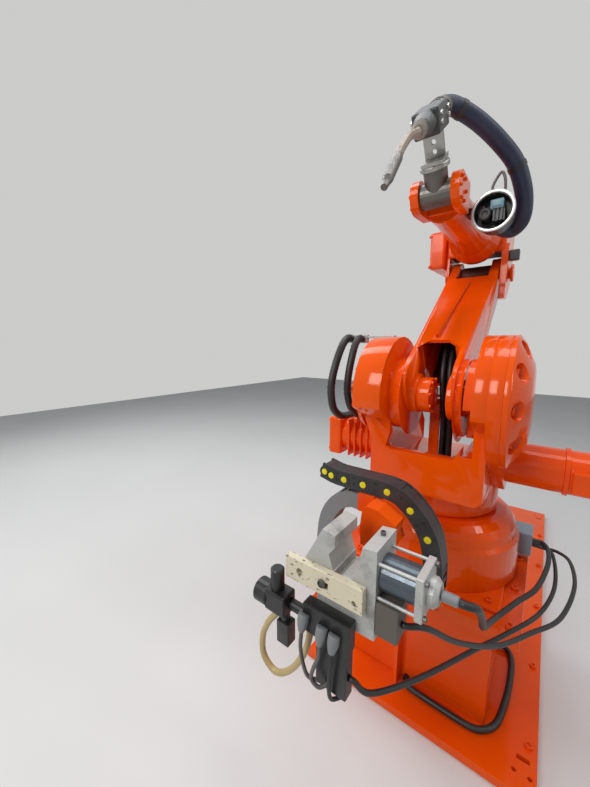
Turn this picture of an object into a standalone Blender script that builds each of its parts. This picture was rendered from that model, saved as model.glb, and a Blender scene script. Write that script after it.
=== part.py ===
# Six-axis arc-welding robot on a travelling carriage, with its torch-cleaning station.
# Metres, +Z up. The origin is on the carriage plate's underside, on the turret's axis.
# The arm faces -Y; the carriage travels along Y.

import math

import bmesh
import bpy
from mathutils import Matrix, Vector

# Gaps
touchGap = 0.0003
runGap = 0.006
seatGap = 0.0004

# Carriage and pedestal
plateHalfWidth = 0.41
plateFront = -0.36
plateRear = 1.75
plateThickness = 0.03
pedestalHalf = 0.255
pedestalFront = -0.22
pedestalRear = 0.26
flangeHalf = 0.33
flangeThickness = 0.012
flangeLip = 0.043
footHeight = 0.51
footThickness = 0.012

# Base and turret
drumRadius = 0.295
drumHeight = 0.15
domeHeight = 0.075
domeTopRadius = 0.225
turretRadius = 0.215
yokeHalfWidth = 0.20
yokeInner = 0.13
yokeFront = -0.30
yokeFloor = 0.865
notchRise = 0.135
waistHalfWidth = 0.155

# Shoulder, lower arm and elbow
shoulderY = -0.20
shoulderZ = 1.19
housingRadius = 0.205
shoulderBore = 0.06
coverDepth = 0.072
pocketRadius = 0.026
boltCircle = 0.158
lowerArmLength = 0.884
lowerArmLean = math.radians(54.4)
armHalfWidth = 0.105
archHalfWidth = 0.092
hubHalfWidth = yokeInner - runGap
elbowBore = 0.026
forkWidth = 0.014

# Upper arm and wrist
upperArmTilt = math.radians(1.7)
upperArmOffset = 0.15
upperArmReach = 0.7645
tubeTipRadius = 0.062
prongRadius = 0.05
tubeEnd = 0.135
toolTilt = math.radians(-52)
flangeReach = 0.085
torchReach = 0.19
nozzleLean = math.radians(14)

# Motors
motorY = 0.0
motorZ = 0.94
motorRadius = 0.075

# Cleaning station
stationY = -0.88
stationTop = 0.795
cylinderRadius = 0.036
chainThickness = 0.044
chainFront = -0.635
chainRear = -0.58


def clearScene():
    for item in list(bpy.data.objects):
        bpy.data.objects.remove(item, do_unlink=True)


def addPivot(name, place, turn, parent=None):
    pivot = bpy.data.objects.new(name, None)
    bpy.context.collection.objects.link(pivot)
    pivot.empty_display_size = 0.1
    pivot.location = place
    pivot.rotation_euler = turn
    pivot.parent = parent
    return pivot


def addMesh(name, bm):
    bmesh.ops.recalc_face_normals(bm, faces=bm.faces)
    mesh = bpy.data.meshes.new(name)
    bm.to_mesh(mesh)
    bm.free()
    item = bpy.data.objects.new(name, mesh)
    bpy.context.collection.objects.link(item)
    return item


# A closed outline in the plane across one axis, drawn out from low to high along it
def prism(outline, axis, low, high, name="solid"):
    bm = bmesh.new()
    rings = []
    for level in (low, high):
        ring = []
        for first, second in outline:
            point = {"x": (level, first, second), "y": (first, level, second), "z": (first, second, level)}[axis]
            ring.append(bm.verts.new(point))
        rings.append(ring)
    bm.faces.new(rings[0])
    bm.faces.new(rings[1])
    for i in range(len(outline)):
        j = (i + 1) % len(outline)
        bm.faces.new((rings[0][i], rings[0][j], rings[1][j], rings[1][i]))
    return addMesh(name, bm)


def block(xs, ys, zs, bevel=0.0, name="solid"):
    item = prism([(xs[0], ys[0]), (xs[1], ys[0]), (xs[1], ys[1]), (xs[0], ys[1])], "z", zs[0], zs[1], name)
    if bevel:
        bm = bmesh.new()
        bm.from_mesh(item.data)
        bmesh.ops.bevel(bm, geom=bm.edges[:], offset=bevel, segments=2, profile=0.5, affect="EDGES")
        bm.to_mesh(item.data)
        bm.free()
    return item


# A turned body: profile holds (distance along the axis, radius) pairs
def turned(profile, axis, centre, sides=40, name="solid"):
    bm = bmesh.new()
    rings = []
    for along, radius in profile:
        ring = []
        for i in range(sides):
            angle = 2 * math.pi * (i + 0.5) / sides
            a = radius * math.cos(angle)
            b = radius * math.sin(angle)
            offset = {"x": (along, a, b), "y": (a, along, b), "z": (a, b, along)}[axis]
            ring.append(bm.verts.new(Vector(centre) + Vector(offset)))
        rings.append(ring)
    for low, high in zip(rings, rings[1:]):
        for i in range(sides):
            j = (i + 1) % sides
            bm.faces.new((low[i], low[j], high[j], high[i]))
    bm.faces.new(rings[0])
    bm.faces.new(rings[-1])
    return addMesh(name, bm)


def rod(axis, centre, radius, low, high, sides=24, chamfer=0.0):
    if chamfer:
        profile = [(low, radius - chamfer), (low + chamfer, radius), (high - chamfer, radius), (high, radius - chamfer)]
    else:
        profile = [(low, radius), (high, radius)]
    return turned(profile, axis, centre, sides)


def combine(base, others, operation):
    for other in others:
        step = base.modifiers.new(operation, "BOOLEAN")
        step.operation = operation
        step.solver = "EXACT"
        step.object = other
        bpy.context.view_layer.objects.active = base
        bpy.ops.object.modifier_apply(modifier=step.name)
        bpy.data.objects.remove(other, do_unlink=True)


def arc(centreA, centreB, radius, start, end, steps):
    points = []
    for i in range(steps + 1):
        angle = math.radians(start + (end - start) * i / steps)
        points.append((centreA + radius * math.cos(angle), centreB + radius * math.sin(angle)))
    return points


# Paint and metals seen on the machine: colour, roughness, metallic
finishes = {
    "paint": ((0.85, 0.13, 0.012), 0.28, 0.0),
    "castAlu": ((0.52, 0.52, 0.50), 0.55, 0.85),
    "steel": ((0.60, 0.60, 0.58), 0.32, 0.95),
    "black": ((0.02, 0.02, 0.022), 0.5, 0.0),
    "navy": ((0.02, 0.03, 0.06), 0.65, 0.0),
    "cream": ((0.72, 0.66, 0.52), 0.5, 0.0),
    "grey": ((0.19, 0.20, 0.21), 0.5, 0.2),
    "brownGrey": ((0.22, 0.19, 0.17), 0.6, 0.1),
    "blueGrey": ((0.32, 0.38, 0.44), 0.45, 0.3),
    "hose": ((0.36, 0.28, 0.20), 0.55, 0.0),
    "tubing": ((0.75, 0.62, 0.35), 0.35, 0.0),
}


def finish(item, name, look, parent=None):
    item.name = name
    item.data.name = name
    colour, roughness, metallic = finishes[look]
    material = bpy.data.materials.new(name)
    material.use_nodes = True
    shader = material.node_tree.nodes["Principled BSDF"]
    shader.inputs["Base Color"].default_value = (*colour, 1.0)
    shader.inputs["Roughness"].default_value = roughness
    shader.inputs["Metallic"].default_value = metallic
    item.data.materials.clear()
    item.data.materials.append(material)
    if item.type == "MESH":
        item.data.shade_smooth()
        item.data.set_sharp_from_angle(angle=math.radians(35))
    item.parent = parent
    return item


# Moves a mesh made in the machine's own place into an unturned pivot's frame
def shiftTo(item, pivot):
    item.data.transform(Matrix.Translation(-Vector(pivot.location)))
    return item


def smoothRoute(points, steps):
    places = [Vector(p) for p in points]
    places.insert(1, (places[0] + places[1]) / 2)
    places.insert(-1, (places[-1] + places[-2]) / 2)
    places = [places[0] * 2 - places[1]] + places + [places[-1] * 2 - places[-2]]
    route = []
    for i in range(1, len(places) - 2):
        a, b, c, d = places[i - 1:i + 3]
        for k in range(steps):
            t = k / steps
            route.append(0.5 * (2 * b + (c - a) * t + (2 * a - 5 * b + 4 * c - d) * t * t
                                + (3 * b - a - 3 * c + d) * t ** 3))
    route.append(places[-2])
    return route


def hose(name, points, radius, look, parent=None, steps=3):
    curve = bpy.data.curves.new(name, "CURVE")
    curve.dimensions = "3D"
    curve.bevel_depth = radius
    curve.bevel_resolution = 2
    curve.use_fill_caps = True
    spline = curve.splines.new("POLY")
    route = smoothRoute(points, steps)
    spline.points.add(len(route) - 1)
    for knot, place in zip(spline.points, route):
        knot.co = (*place, 1.0)
    item = bpy.data.objects.new(name, curve)
    bpy.context.collection.objects.link(item)
    finish(item, name, look)
    if parent:
        bpy.context.view_layer.update()
        item.parent = parent
        item.matrix_parent_inverse = parent.matrix_world.inverted()
    return item


# Carriage, pedestal and base

def buildCarriage():
    plate = block((-plateHalfWidth, plateHalfWidth), (plateFront, plateRear), (0, plateThickness), 0.002)
    cutters = []
    for side in (-1, 1):
        for y in (plateFront + 0.11, plateRear - 0.11):
            cutters.append(block((side * 0.372 - 0.018, side * 0.372 + 0.018), (y - 0.008, y + 0.008), (-0.01, 0.05)))
        for y in (plateFront + 0.062, plateRear - 0.062):
            for x in (0.35, 0.392):
                cutters.append(rod("z", (side * x, y, 0), 0.007, -0.01, 0.05, 12))
    combine(plate, cutters, "DIFFERENCE")
    finish(plate, "carriage_plate", "paint")


def buildPedestal():
    low = plateThickness + touchGap
    high = footHeight - flangeLip - touchGap
    box = block((-pedestalHalf, pedestalHalf), (pedestalFront, pedestalRear), (low, high), 0.004)
    rib = block((-0.056, -0.044), (pedestalFront - 0.05, pedestalFront + 0.02), (low, high - 0.002))
    rearRib = block((-0.006, 0.006), (pedestalRear - 0.02, pedestalRear + 0.05), (low, high - 0.002))
    combine(box, [rib, rearRib], "UNION")
    finish(box, "pedestal_box", "paint")

    top = footHeight - touchGap
    flange = block((-flangeHalf, flangeHalf), (-flangeHalf, flangeHalf), (top - flangeLip, top), 0.003)
    pocket = block((-flangeHalf + 0.012, flangeHalf - 0.012), (-flangeHalf + 0.012, flangeHalf + 0.1),
                   (0, top - flangeThickness))
    core = block((-0.28, 0.28), (-0.28, 0.28), (top - flangeLip, top - 0.005))
    combine(flange, [pocket], "DIFFERENCE")
    combine(flange, [core], "UNION")
    finish(flange, "pedestal_flange", "paint")


def buildBase():
    foot = block((-0.27, 0.27), (-0.27, 0.27), (footHeight, footHeight + footThickness), 0.003)
    finish(foot, "robot_foot", "paint")
    bottom = footHeight + footThickness + touchGap
    rim = bottom + drumHeight
    profile = [(bottom, drumRadius), (rim - 0.012, drumRadius), (rim, drumRadius - 0.01)]
    for i in range(1, 5):
        share = i / 4
        profile.append((rim + domeHeight * math.sin(share * math.pi / 2),
                        drumRadius - 0.01 - (drumRadius - 0.01 - domeTopRadius) * (1 - math.cos(share * math.pi / 2))))
    drum = turned(profile, "z", (0, 0, 0), 64)
    finish(drum, "base_drum", "paint")
    panel = block((0.25, 0.335), (0.10, 0.20), (footHeight + 0.03, footHeight + 0.12), 0.004)
    reach = block((0.2, 0.3), (0.12, 0.18), (footHeight + 0.05, footHeight + 0.10))
    combine(panel, [reach], "UNION")
    gapCutter = turned([(0, drumRadius + touchGap), (0.3, drumRadius + touchGap)], "z", (0, 0, footHeight), 64)
    combine(panel, [gapCutter], "DIFFERENCE")
    finish(panel, "connector_box", "blueGrey")


# Turret with its gear housings and motors

def buildTurret(turret):
    base = footHeight + footThickness + touchGap + drumHeight + domeHeight
    notch = yokeFloor + notchRise
    low = base + seatGap
    neck = turned([(low, turretRadius - 0.01), (low + 0.01, turretRadius), (yokeFloor + 0.004, turretRadius)],
                  "z", (0, 0, 0), 56)
    sideOutline = [(yokeFront + 0.02, yokeFloor), (0.20, yokeFloor), (0.22, yokeFloor + 0.05), (0.12, 1.03)]
    sideOutline += arc(shoulderY, shoulderZ, housingRadius, -10, 190, 16)
    sideOutline += [(yokeFront, 1.10), (yokeFront, yokeFloor + 0.02)]
    solids = []
    for side in (-1, 1):
        xs = sorted((side * yokeInner, side * yokeHalfWidth))
        solids.append(prism(sideOutline, "x", xs[0], xs[1]))
    frontOutline = [(-yokeHalfWidth, yokeFloor + 0.02), (-yokeHalfWidth + 0.02, yokeFloor),
                    (yokeHalfWidth - 0.02, yokeFloor), (yokeHalfWidth, yokeFloor + 0.02),
                    (yokeHalfWidth, 1.155), (0.175, 1.15), (0.118, notch + 0.018), (0.10, notch),
                    (-0.092, notch), (-armHalfWidth - runGap, notch + 0.012), (-0.165, 1.14),
                    (-yokeHalfWidth, 1.12)]
    solids.append(prism(frontOutline, "y", yokeFront - 0.012, yokeFront + 0.04))
    solids.append(block((-yokeHalfWidth + 0.01, yokeHalfWidth - 0.01), (yokeFront + 0.03, 0.19),
                        (yokeFloor, yokeFloor + 0.06)))
    combine(neck, solids, "UNION")
    bore = rod("x", (0, shoulderY, shoulderZ), shoulderBore, -0.25, 0.25, 32)
    waist = prism([(-0.3, yokeFloor - 0.05), (-waistHalfWidth + 0.025, yokeFloor - 0.05),
                   (-waistHalfWidth, notch), (-yokeHalfWidth, 1.12), (-0.3, 1.12)], "y", yokeFront - 0.1, -0.235)
    combine(neck, [bore, waist], "DIFFERENCE")
    finish(shiftTo(neck, turret), "turret_yoke", "paint", turret)
    bar = block((-0.02, 0.016), (-0.112, -0.10), (yokeFloor + 0.06 + touchGap, 1.165), 0.002)
    finish(shiftTo(bar, turret), "harness_bracket", "paint", turret)


def buildHousings(turret):
    inner = yokeHalfWidth + touchGap
    outer = yokeHalfWidth + coverDepth
    shoulder = (0, shoulderY, shoulderZ)
    cover = turned([(inner, housingRadius), (outer - 0.05, housingRadius), (outer - 0.04, housingRadius - 0.006),
                    (outer - 0.01, 0.145), (outer - 0.002, 0.12), (outer, 0.06), (outer + 0.013, 0.05),
                    (outer + 0.018, 0.03), (outer + 0.032, 0.026)], "x", shoulder, 56)
    places = [(0, shoulderY + boltCircle * y, shoulderZ + boltCircle * z) for y, z in arc(0, 0, 1, 22.5, 337.5, 7)]
    combine(cover, [rod("x", place, pocketRadius, outer - 0.036, outer + 0.05, 18) for place in places], "DIFFERENCE")
    combine(cover, [rod("x", place, 0.0105, outer - 0.05, outer - 0.02, 10) for place in places], "UNION")
    finish(shiftTo(cover, turret), "right_gear_cover", "paint", turret)

    hub = turned([(-inner, 0.15), (-inner - 0.016, 0.145), (-inner - 0.02, 0.11), (-inner - 0.05, 0.10),
                  (-inner - 0.06, 0.05), (-inner - 0.095, 0.032), (-inner - 0.1, 0.024)], "x", shoulder, 48)
    finish(shiftTo(hub, turret), "left_gear_cover", "paint", turret)


def buildMotors(turret):
    start = yokeHalfWidth + touchGap
    left = turned([(-start, 0.062), (-0.25, 0.062), (-0.255, motorRadius), (-0.425, motorRadius)],
                  "x", (0, motorY, motorZ), 36)
    ribs = [block((-x - 0.004, -x + 0.004), (motorY - 0.085, motorY + 0.085), (motorZ - 0.085, motorZ + 0.085), 0.003)
            for x in (0.29, 0.32, 0.35, 0.38)]
    end = block((-0.485, -0.42), (motorY - 0.089, motorY + 0.089), (motorZ - 0.089, motorZ + 0.089), 0.012)
    combine(left, ribs + [end], "UNION")
    finish(shiftTo(left, turret), "left_motor", "paint", turret)
    right = turned([(start, 0.066), (start + 0.02, 0.066), (start + 0.03, motorRadius), (0.395, motorRadius),
                    (0.397, motorRadius + 0.006), (0.409, motorRadius + 0.006), (0.411, motorRadius),
                    (0.50, motorRadius)], "x", (0, motorY, motorZ), 36)
    cap = block((0.49, 0.55), (motorY - 0.085, motorY + 0.085), (motorZ - 0.085, motorZ + 0.085), 0.012)
    box = block((0.415, 0.475), (motorY - 0.105, motorY - 0.03), (motorZ - 0.04, motorZ + 0.03), 0.004)
    combine(right, [cap, box], "UNION")
    finish(shiftTo(right, turret), "right_motor", "paint", turret)


# Lower arm: upright about the shoulder pivot, its front towards -Y

def buildLowerArm(shoulder):
    top = lowerArmLength
    outline = arc(0, 0, 0.15, 180, 360, 14)
    outline += [(0.12, 0.14), (0.075, 0.60), (0.072, top)]
    outline += arc(0, top, 0.072, 20, 160, 8)
    outline += [(-0.06, 0.72), (-0.145, 0.09)]
    arm = prism(outline, "x", -armHalfWidth, armHalfWidth)
    hub = rod("x", (0, 0, 0), 0.13, -hubHalfWidth, hubHalfWidth, 40, 0.004)
    journal = rod("x", (0, 0, 0), shoulderBore - 0.0008, -yokeHalfWidth + 0.01, yokeHalfWidth - 0.01, 32)
    elbowBoss = rod("x", (0, 0, top), 0.072, -armHalfWidth, armHalfWidth, 32)
    combine(arm, [hub, journal, elbowBoss], "UNION")
    half = archHalfWidth
    arch = prism([(-half, -0.3), (half, -0.3), (half, 0.085), (half - 0.046, 0.135), (0.046 - half, 0.135),
                  (-half, 0.085)], "y", -0.3, 0.3)
    fork = block((-0.068, 0.068), (-0.3, 0.3), (top - 0.125, top + 0.2))
    trough = block((-0.085, 0.085), (-0.03, 0.3), (0.05, top - 0.17))
    bore = rod("x", (0, 0, top), elbowBore, -0.3, 0.3, 20)
    combine(arm, [arch, fork, trough, bore], "DIFFERENCE")
    rib = prism([(-0.060, 0.70), (-0.068, 0.70), (-0.147, 0.16), (-0.13, 0.16)], "x", -0.006, 0.006)
    innerHub = rod("x", (0, 0, 0), 0.075, -half - 0.004, -0.03, 28, 0.004)
    combine(arm, [rib, innerHub], "UNION")
    finish(arm, "lower_arm", "paint", shoulder)
    rightHub = rod("x", (0, 0, 0), 0.08, 0.068, half - touchGap, 28, 0.003)
    finish(rightHub, "right_hub_ring", "paint", shoulder)


def buildElbowLink(elbow):
    reach = armHalfWidth + runGap + forkWidth + runGap
    pin = rod("x", (0, 0, 0), elbowBore - 0.0007, -reach - 0.004, reach + 0.016, 20)
    caps = [rod("x", (0, 0, 0), 0.034, -reach - 0.012, -reach, 28, 0.003),
            rod("x", (0, 0, 0), 0.040, reach + 0.012, reach + 0.024, 28, 0.003)]
    combine(pin, caps, "UNION")
    finish(pin, "elbow_pin", "paint", elbow)


# The tube's outline, grown by a clearance where it cuts its neighbours
def tubeProfile(grow):
    tip = -upperArmReach + tubeEnd
    return [(-0.10 - touchGap, 0.106 + grow), (-0.135, 0.106 + grow), (-0.155, 0.1 + grow), (-0.21, 0.084 + grow),
            (-0.32, 0.075 + grow), (tip, tubeTipRadius + grow)]


# Upper arm: forwards along -Y from the elbow, its tube raised by the offset

def buildUpperArm(upper):
    lift = upperArmOffset
    inner = armHalfWidth + runGap
    outer = inner + forkWidth
    rear = 0.24
    housing = block((-outer, outer), (-0.10, rear), (0.085, 0.24), 0.012)
    slope = prism([(0.02, 0.06), (rear + 0.1, 0.06), (rear + 0.1, 0.146), (0.02, 0.085)], "x", -0.3, 0.3)
    combine(housing, [slope], "DIFFERENCE")
    cheek = [(0.11, 0.12), (-0.09, 0.12), (-0.095, 0.0)] + arc(0, 0, 0.075, 200, 335, 8)
    lever = [(0.11, 0.12), (-0.09, 0.12), (-0.125, -0.06), (-0.13, -0.125), (-0.06, -0.125), (0.03, -0.07)]
    lever += arc(0, 0, 0.075, 300, 350, 4)
    tab = block((-0.022, 0.022), (-0.098, -0.084), (0.05, 0.1), 0.002)
    combine(housing, [prism(cheek, "x", -outer, -inner), prism(lever, "x", inner, outer + 0.012), tab], "UNION")
    combine(housing, [rod("x", (0, 0, 0), elbowBore, -0.3, 0.3, 20)], "DIFFERENCE")
    finish(housing, "elbow_casting", "paint", upper)

    tube = turned(tubeProfile(0), "y", (0, 0, lift), 36)
    finish(tube, "upper_arm_tube", "paint", upper)
    box = block((-0.20, -outer - touchGap), (-0.13, 0.20), (0.04, 0.215), 0.012)
    finish(box, "elbow_cover_box", "paint", upper)
    for i, (x, z) in enumerate(((-0.064, 0.168), (0.064, 0.168), (0, 0.203))):
        motor = turned([(touchGap, 0.034), (0.02, 0.034), (0.022, 0.031), (0.15, 0.031), (0.16, 0.026)],
                       "y", (x, rear, z), 24)
        finish(motor, "wrist_motor_%d" % (i + 1), "paint", upper)


def buildWrist(roll, tilt):
    ringStart = tubeEnd - seatGap
    ring = rod("y", (0, 0, 0), tubeTipRadius + 0.003, 0.075, ringStart, 32, 0.003)
    prongs = []
    for side in (-1, 1):
        xs = sorted((side * 0.047, side * 0.072))
        outline = arc(0, 0, prongRadius, 90, 270, 12) + [(0.10, -0.045), (0.10, 0.045)]
        prongs.append(prism(outline, "x", xs[0], xs[1]))
    web = block((-0.07, 0.07), (0.06, 0.10), (-0.04, 0.04), 0.003)
    combine(ring, prongs + [web], "UNION")
    finish(ring, "wrist_fork", "paint", roll)

    tiltBody = rod("x", (0, 0, 0), 0.038, -0.047 + seatGap, 0.047 - seatGap, 28, 0.002)
    nose = rod("y", (0, 0, 0), 0.034, -flangeReach + 0.012, 0.0, 28)
    combine(tiltBody, [nose], "UNION")
    finish(tiltBody, "tilt_housing", "paint", tilt)


def buildTool(tool):
    start = -flangeReach + 0.012 - seatGap
    flange = rod("y", (0, 0, 0), 0.042, start - 0.014, start, 32, 0.002)
    finish(flange, "tool_flange", "steel", tool)
    front = start - 0.014 - touchGap
    plate = prism([(-0.03, -0.035), (0.03, -0.035), (0.035, 0.0), (0.03, 0.045), (-0.03, 0.045), (-0.035, 0.0)],
                  "y", front - 0.01, front)
    web = block((-0.028, 0.028), (-torchReach + 0.030, front), (0.012, 0.022), 0.001)
    combine(plate, [web], "UNION")
    holes = [rod("z", (0, y, 0), 0.007, 0.0, 0.04, 12) for y in (front - 0.025, front - 0.05)]
    combine(plate, holes, "DIFFERENCE")
    finish(plate, "torch_bracket", "steel", tool)

    rear = 0.15
    clamp = block((-0.036, 0.036), (-torchReach - 0.034, -torchReach + 0.030 - touchGap), (-0.045, 0.06), 0.006)
    body = turned([(rear, 0.024), (rear - 0.012, 0.03), (0.02, 0.032), (-0.06, 0.03), (-0.085, 0.022)],
                  "z", (0, -torchReach - 0.004, 0), 28)
    combine(clamp, [body], "UNION")
    finish(clamp, "torch_holder", "grey", tool)

    collar = turned([(-0.085 - touchGap, 0.021), (-0.105, 0.021), (-0.112, 0.015)], "z", (0, -torchReach - 0.004, 0), 24)
    finish(collar, "torch_collar", "cream", tool)
    axis = Vector((0, math.sin(nozzleLean), -math.cos(nozzleLean)))
    mouth = Vector((0, -torchReach + 0.004, -0.285))
    neck = hose("torch_neck", [(0, -torchReach - 0.004, -0.1125), (0, -torchReach - 0.004, -0.135),
                               (0, -torchReach - 0.011, -0.19), mouth - 0.03 * axis, mouth], 0.0105, "cream", None, 2)
    neck.parent = tool
    nozzle = turned([(0.0, 0.0105), (-0.01, 0.013), (-0.09, 0.0125), (-0.105, 0.009), (-0.12, 0.008)],
                    "z", (0, 0, 0), 24)
    turn = Matrix.Rotation(nozzleLean, 4, "X")
    nozzle.data.transform(Matrix.Translation(mouth + touchGap * axis) @ turn)
    finish(nozzle, "torch_nozzle", "steel", tool)


def buildDriveUnit(upper):
    lift = upperArmOffset
    front = 0.1245 - upperArmReach
    centre = (0.137, front, lift - 0.045)
    cup = turned([(0.0, 0.06), (0.004, 0.063), (0.012, 0.062), (0.10, 0.052), (0.115, 0.04)], "y", centre, 36)
    hollow = rod("y", centre, 0.052, -0.02, 0.05, 32)
    saddle = block((0.035, 0.11), (front + 0.03, front + 0.085), (lift - 0.035, lift - 0.012), 0.002)
    tube = turned(tubeProfile(touchGap), "y", (0, 0, lift), 36)
    combine(saddle, [tube], "DIFFERENCE")
    combine(cup, [hollow], "DIFFERENCE")
    combine(cup, [saddle], "UNION")
    finish(cup, "drive_unit_shell", "black", upper)
    innards = rod("y", centre, 0.022, 0.004, 0.05 - touchGap, 20, 0.003)
    finish(innards, "drive_unit_motor", "steel", upper)
    side = armHalfWidth + runGap + forkWidth + 0.012
    gland = block((side + touchGap, side + 0.04), (-0.085, -0.045), (0.045, 0.09), 0.005)
    finish(gland, "hose_gland", "grey", upper)


# Torch-cleaning station in front of the base

# Height of the station bracket's sloping top edge at a place along Y
def bracketTop(y):
    share = (y + flangeHalf) / (stationY + 0.12 + flangeHalf)
    return footHeight - 0.005 + share * (stationTop - footHeight + 0.005)


def buildStation():
    wall = -flangeHalf - touchGap
    arm = prism([(wall, footHeight - 0.04), (wall, bracketTop(-flangeHalf)), (stationY + 0.12, stationTop),
                 (stationY + 0.013, stationTop), (stationY + 0.013, stationTop - 0.01),
                 (stationY + 0.12, stationTop - 0.01)], "x", -0.06, 0.04)
    finish(arm, "station_bracket", "paint")

    front = stationY + 0.012
    rear = stationY + 0.11
    casting = block((-0.03, 0.102), (front, rear), (stationTop + touchGap, stationTop + 0.11), 0.003)
    left = prism([(-0.078, 0.08), (-0.018, 0.193), (0.028, 0.185), (-0.002, 0.143), (0.012, 0.1), (0.012, 0.08)],
                 "y", front, rear)
    right = prism([(0.03, 0.08), (0.03, 0.09), (0.045, 0.1), (0.058, 0.121), (0.068, 0.153), (0.072, 0.187),
                   (0.102, 0.19), (0.102, 0.08)], "y", front, rear)
    for side in (left, right):
        side.data.transform(Matrix.Translation((0, 0, stationTop)))
    combine(casting, [left, right], "UNION")
    cradle = prism([(0.0121, 0.091), (0.0299, 0.091), (0.0299, 0.2), (0.0121, 0.2)], "y", front - 0.1, rear + 0.1)
    cradle.data.transform(Matrix.Translation((0, 0, stationTop)))
    combine(casting, [cradle], "DIFFERENCE")
    finish(casting, "station_casting", "castAlu")

    barZ = stationTop + 0.085
    bar = block((-0.102, 0.084), (front - 0.018, front - touchGap), (barZ - 0.026, barZ + 0.026), 0.001)
    holes = [rod("y", (-0.064, 0, barZ), 0.0085, stationY - 0.1, stationY + 0.1, 14),
             rod("y", (0.066, 0, barZ - 0.007), 0.005, stationY - 0.1, stationY + 0.1, 12),
             block((-0.016, 0.008), (stationY - 0.1, stationY + 0.1), (barZ - 0.008, barZ + 0.006))]
    combine(bar, holes, "DIFFERENCE")
    finish(bar, "station_face_bar", "cream")

    axis = (0, stationY + 0.056, stationTop + 0.127)
    cylinder = rod("x", axis, cylinderRadius, 0.102 + touchGap, 0.172, 32)
    finish(cylinder, "station_cylinder", "blueGrey")
    reach = cylinderRadius + 0.006
    endPlate = block((0.172 + touchGap, 0.187), (axis[1] - reach, axis[1] + reach), (axis[2] - reach, axis[2] + reach),
                     0.002)
    boss = turned([(0.18, 0.028), (0.198, 0.028), (0.206, 0.02)], "x", axis, 24)
    combine(endPlate, [boss], "UNION")
    rods = [rod("x", (0, axis[1] + y * 0.035, axis[2] + z * 0.035), 0.0035, 0.102 + touchGap, 0.18, 8)
            for y, z in ((-1, -1), (-1, 1), (1, -1), (1, 1))]
    combine(endPlate, rods, "UNION")
    finish(endPlate, "station_end_plate", "castAlu")
    gland = rod("x", axis, 0.010, 0.206 + touchGap, 0.236, 16, 0.002)
    finish(gland, "station_gland", "grey")

    lower = block((0.102 + touchGap, 0.146), (front, front + 0.05), (stationTop + 0.018, stationTop + 0.088), 0.002)
    finish(lower, "station_block", "brownGrey")
    upper = block((-0.047, 0.064), (front - 0.03, front - touchGap), (stationTop - 0.035, stationTop + 0.03), 0.003)
    step = block((-0.012, 0.06), (front - 0.03, front - touchGap), (stationTop - 0.14, stationTop - 0.03), 0.003)
    combine(upper, [step], "UNION")
    finish(upper, "station_valves", "black")
    buildRegulator(front - 0.022)


def buildRegulator(y):
    z = stationTop
    body = block((-0.145, -0.088), (y - 0.022, y + 0.022), (z - 0.027, z + 0.022), 0.004)
    knobs = [rod("z", (-0.1225, y, 0), 0.016, z + 0.015, z + 0.072, 20, 0.003),
             rod("x", (0, y, z - 0.004), 0.027, -0.178, -0.14, 24, 0.003),
             rod("x", (0, y + 0.007, z - 0.006), 0.012, -0.09, -0.047 - touchGap, 16),
             rod("z", (-0.1, y, 0), 0.011, z - 0.05, z - 0.02, 12),
             block((-0.115, -0.082), (y - 0.014, y + 0.014), (z - 0.1, z - 0.045), 0.002)]
    combine(body, knobs, "UNION")
    finish(body, "air_regulator", "black")


# Outline of a band of even thickness along a route of (x, z) points
def band(route, thickness):
    left = []
    right = []
    for i, place in enumerate(route):
        run = (route[min(i + 1, len(route) - 1)] - route[max(i - 1, 0)]).normalized()
        side = Vector((-run[1], run[0])) * thickness / 2
        left.append(tuple(place + side))
        right.append(tuple(place - side))
    return left + right[::-1]


# Two side walls joined by a cross bar at every link
def chainStrand(name, points, pitch):
    route = [Vector((p.x, p.z)) for p in smoothRoute([(x, 0, z) for x, z in points], 3)]
    strand = prism(band(route, chainThickness), "y", chainFront, chainFront + 0.007)
    walls = [prism(band(route, chainThickness), "y", chainRear - 0.007, chainRear)]
    total = sum((after - before).length for before, after in zip(route, route[1:]))
    travelled = 0.0
    due = pitch / 2
    for before, after in zip(route, route[1:]):
        length = (after - before).length
        while due < min(travelled + length, total - 0.008):
            middle = before.lerp(after, (due - travelled) / length)
            run = (after - before).normalized()
            side = Vector((-run[1], run[0]))
            for level in (-1, 1):
                centre = middle + side * level * (chainThickness / 2 - 0.0035)
                corners = [centre + run * a + side * b for a, b in ((-0.007, -0.0025), (0.007, -0.0025),
                                                                      (0.007, 0.0025), (-0.007, 0.0025))]
                walls.append(prism([tuple(corner) for corner in corners], "y", chainFront + 0.003, chainRear - 0.003))
            due += pitch
        travelled += length
    combine(strand, walls, "UNION")
    finish(strand, name, "black")


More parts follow.
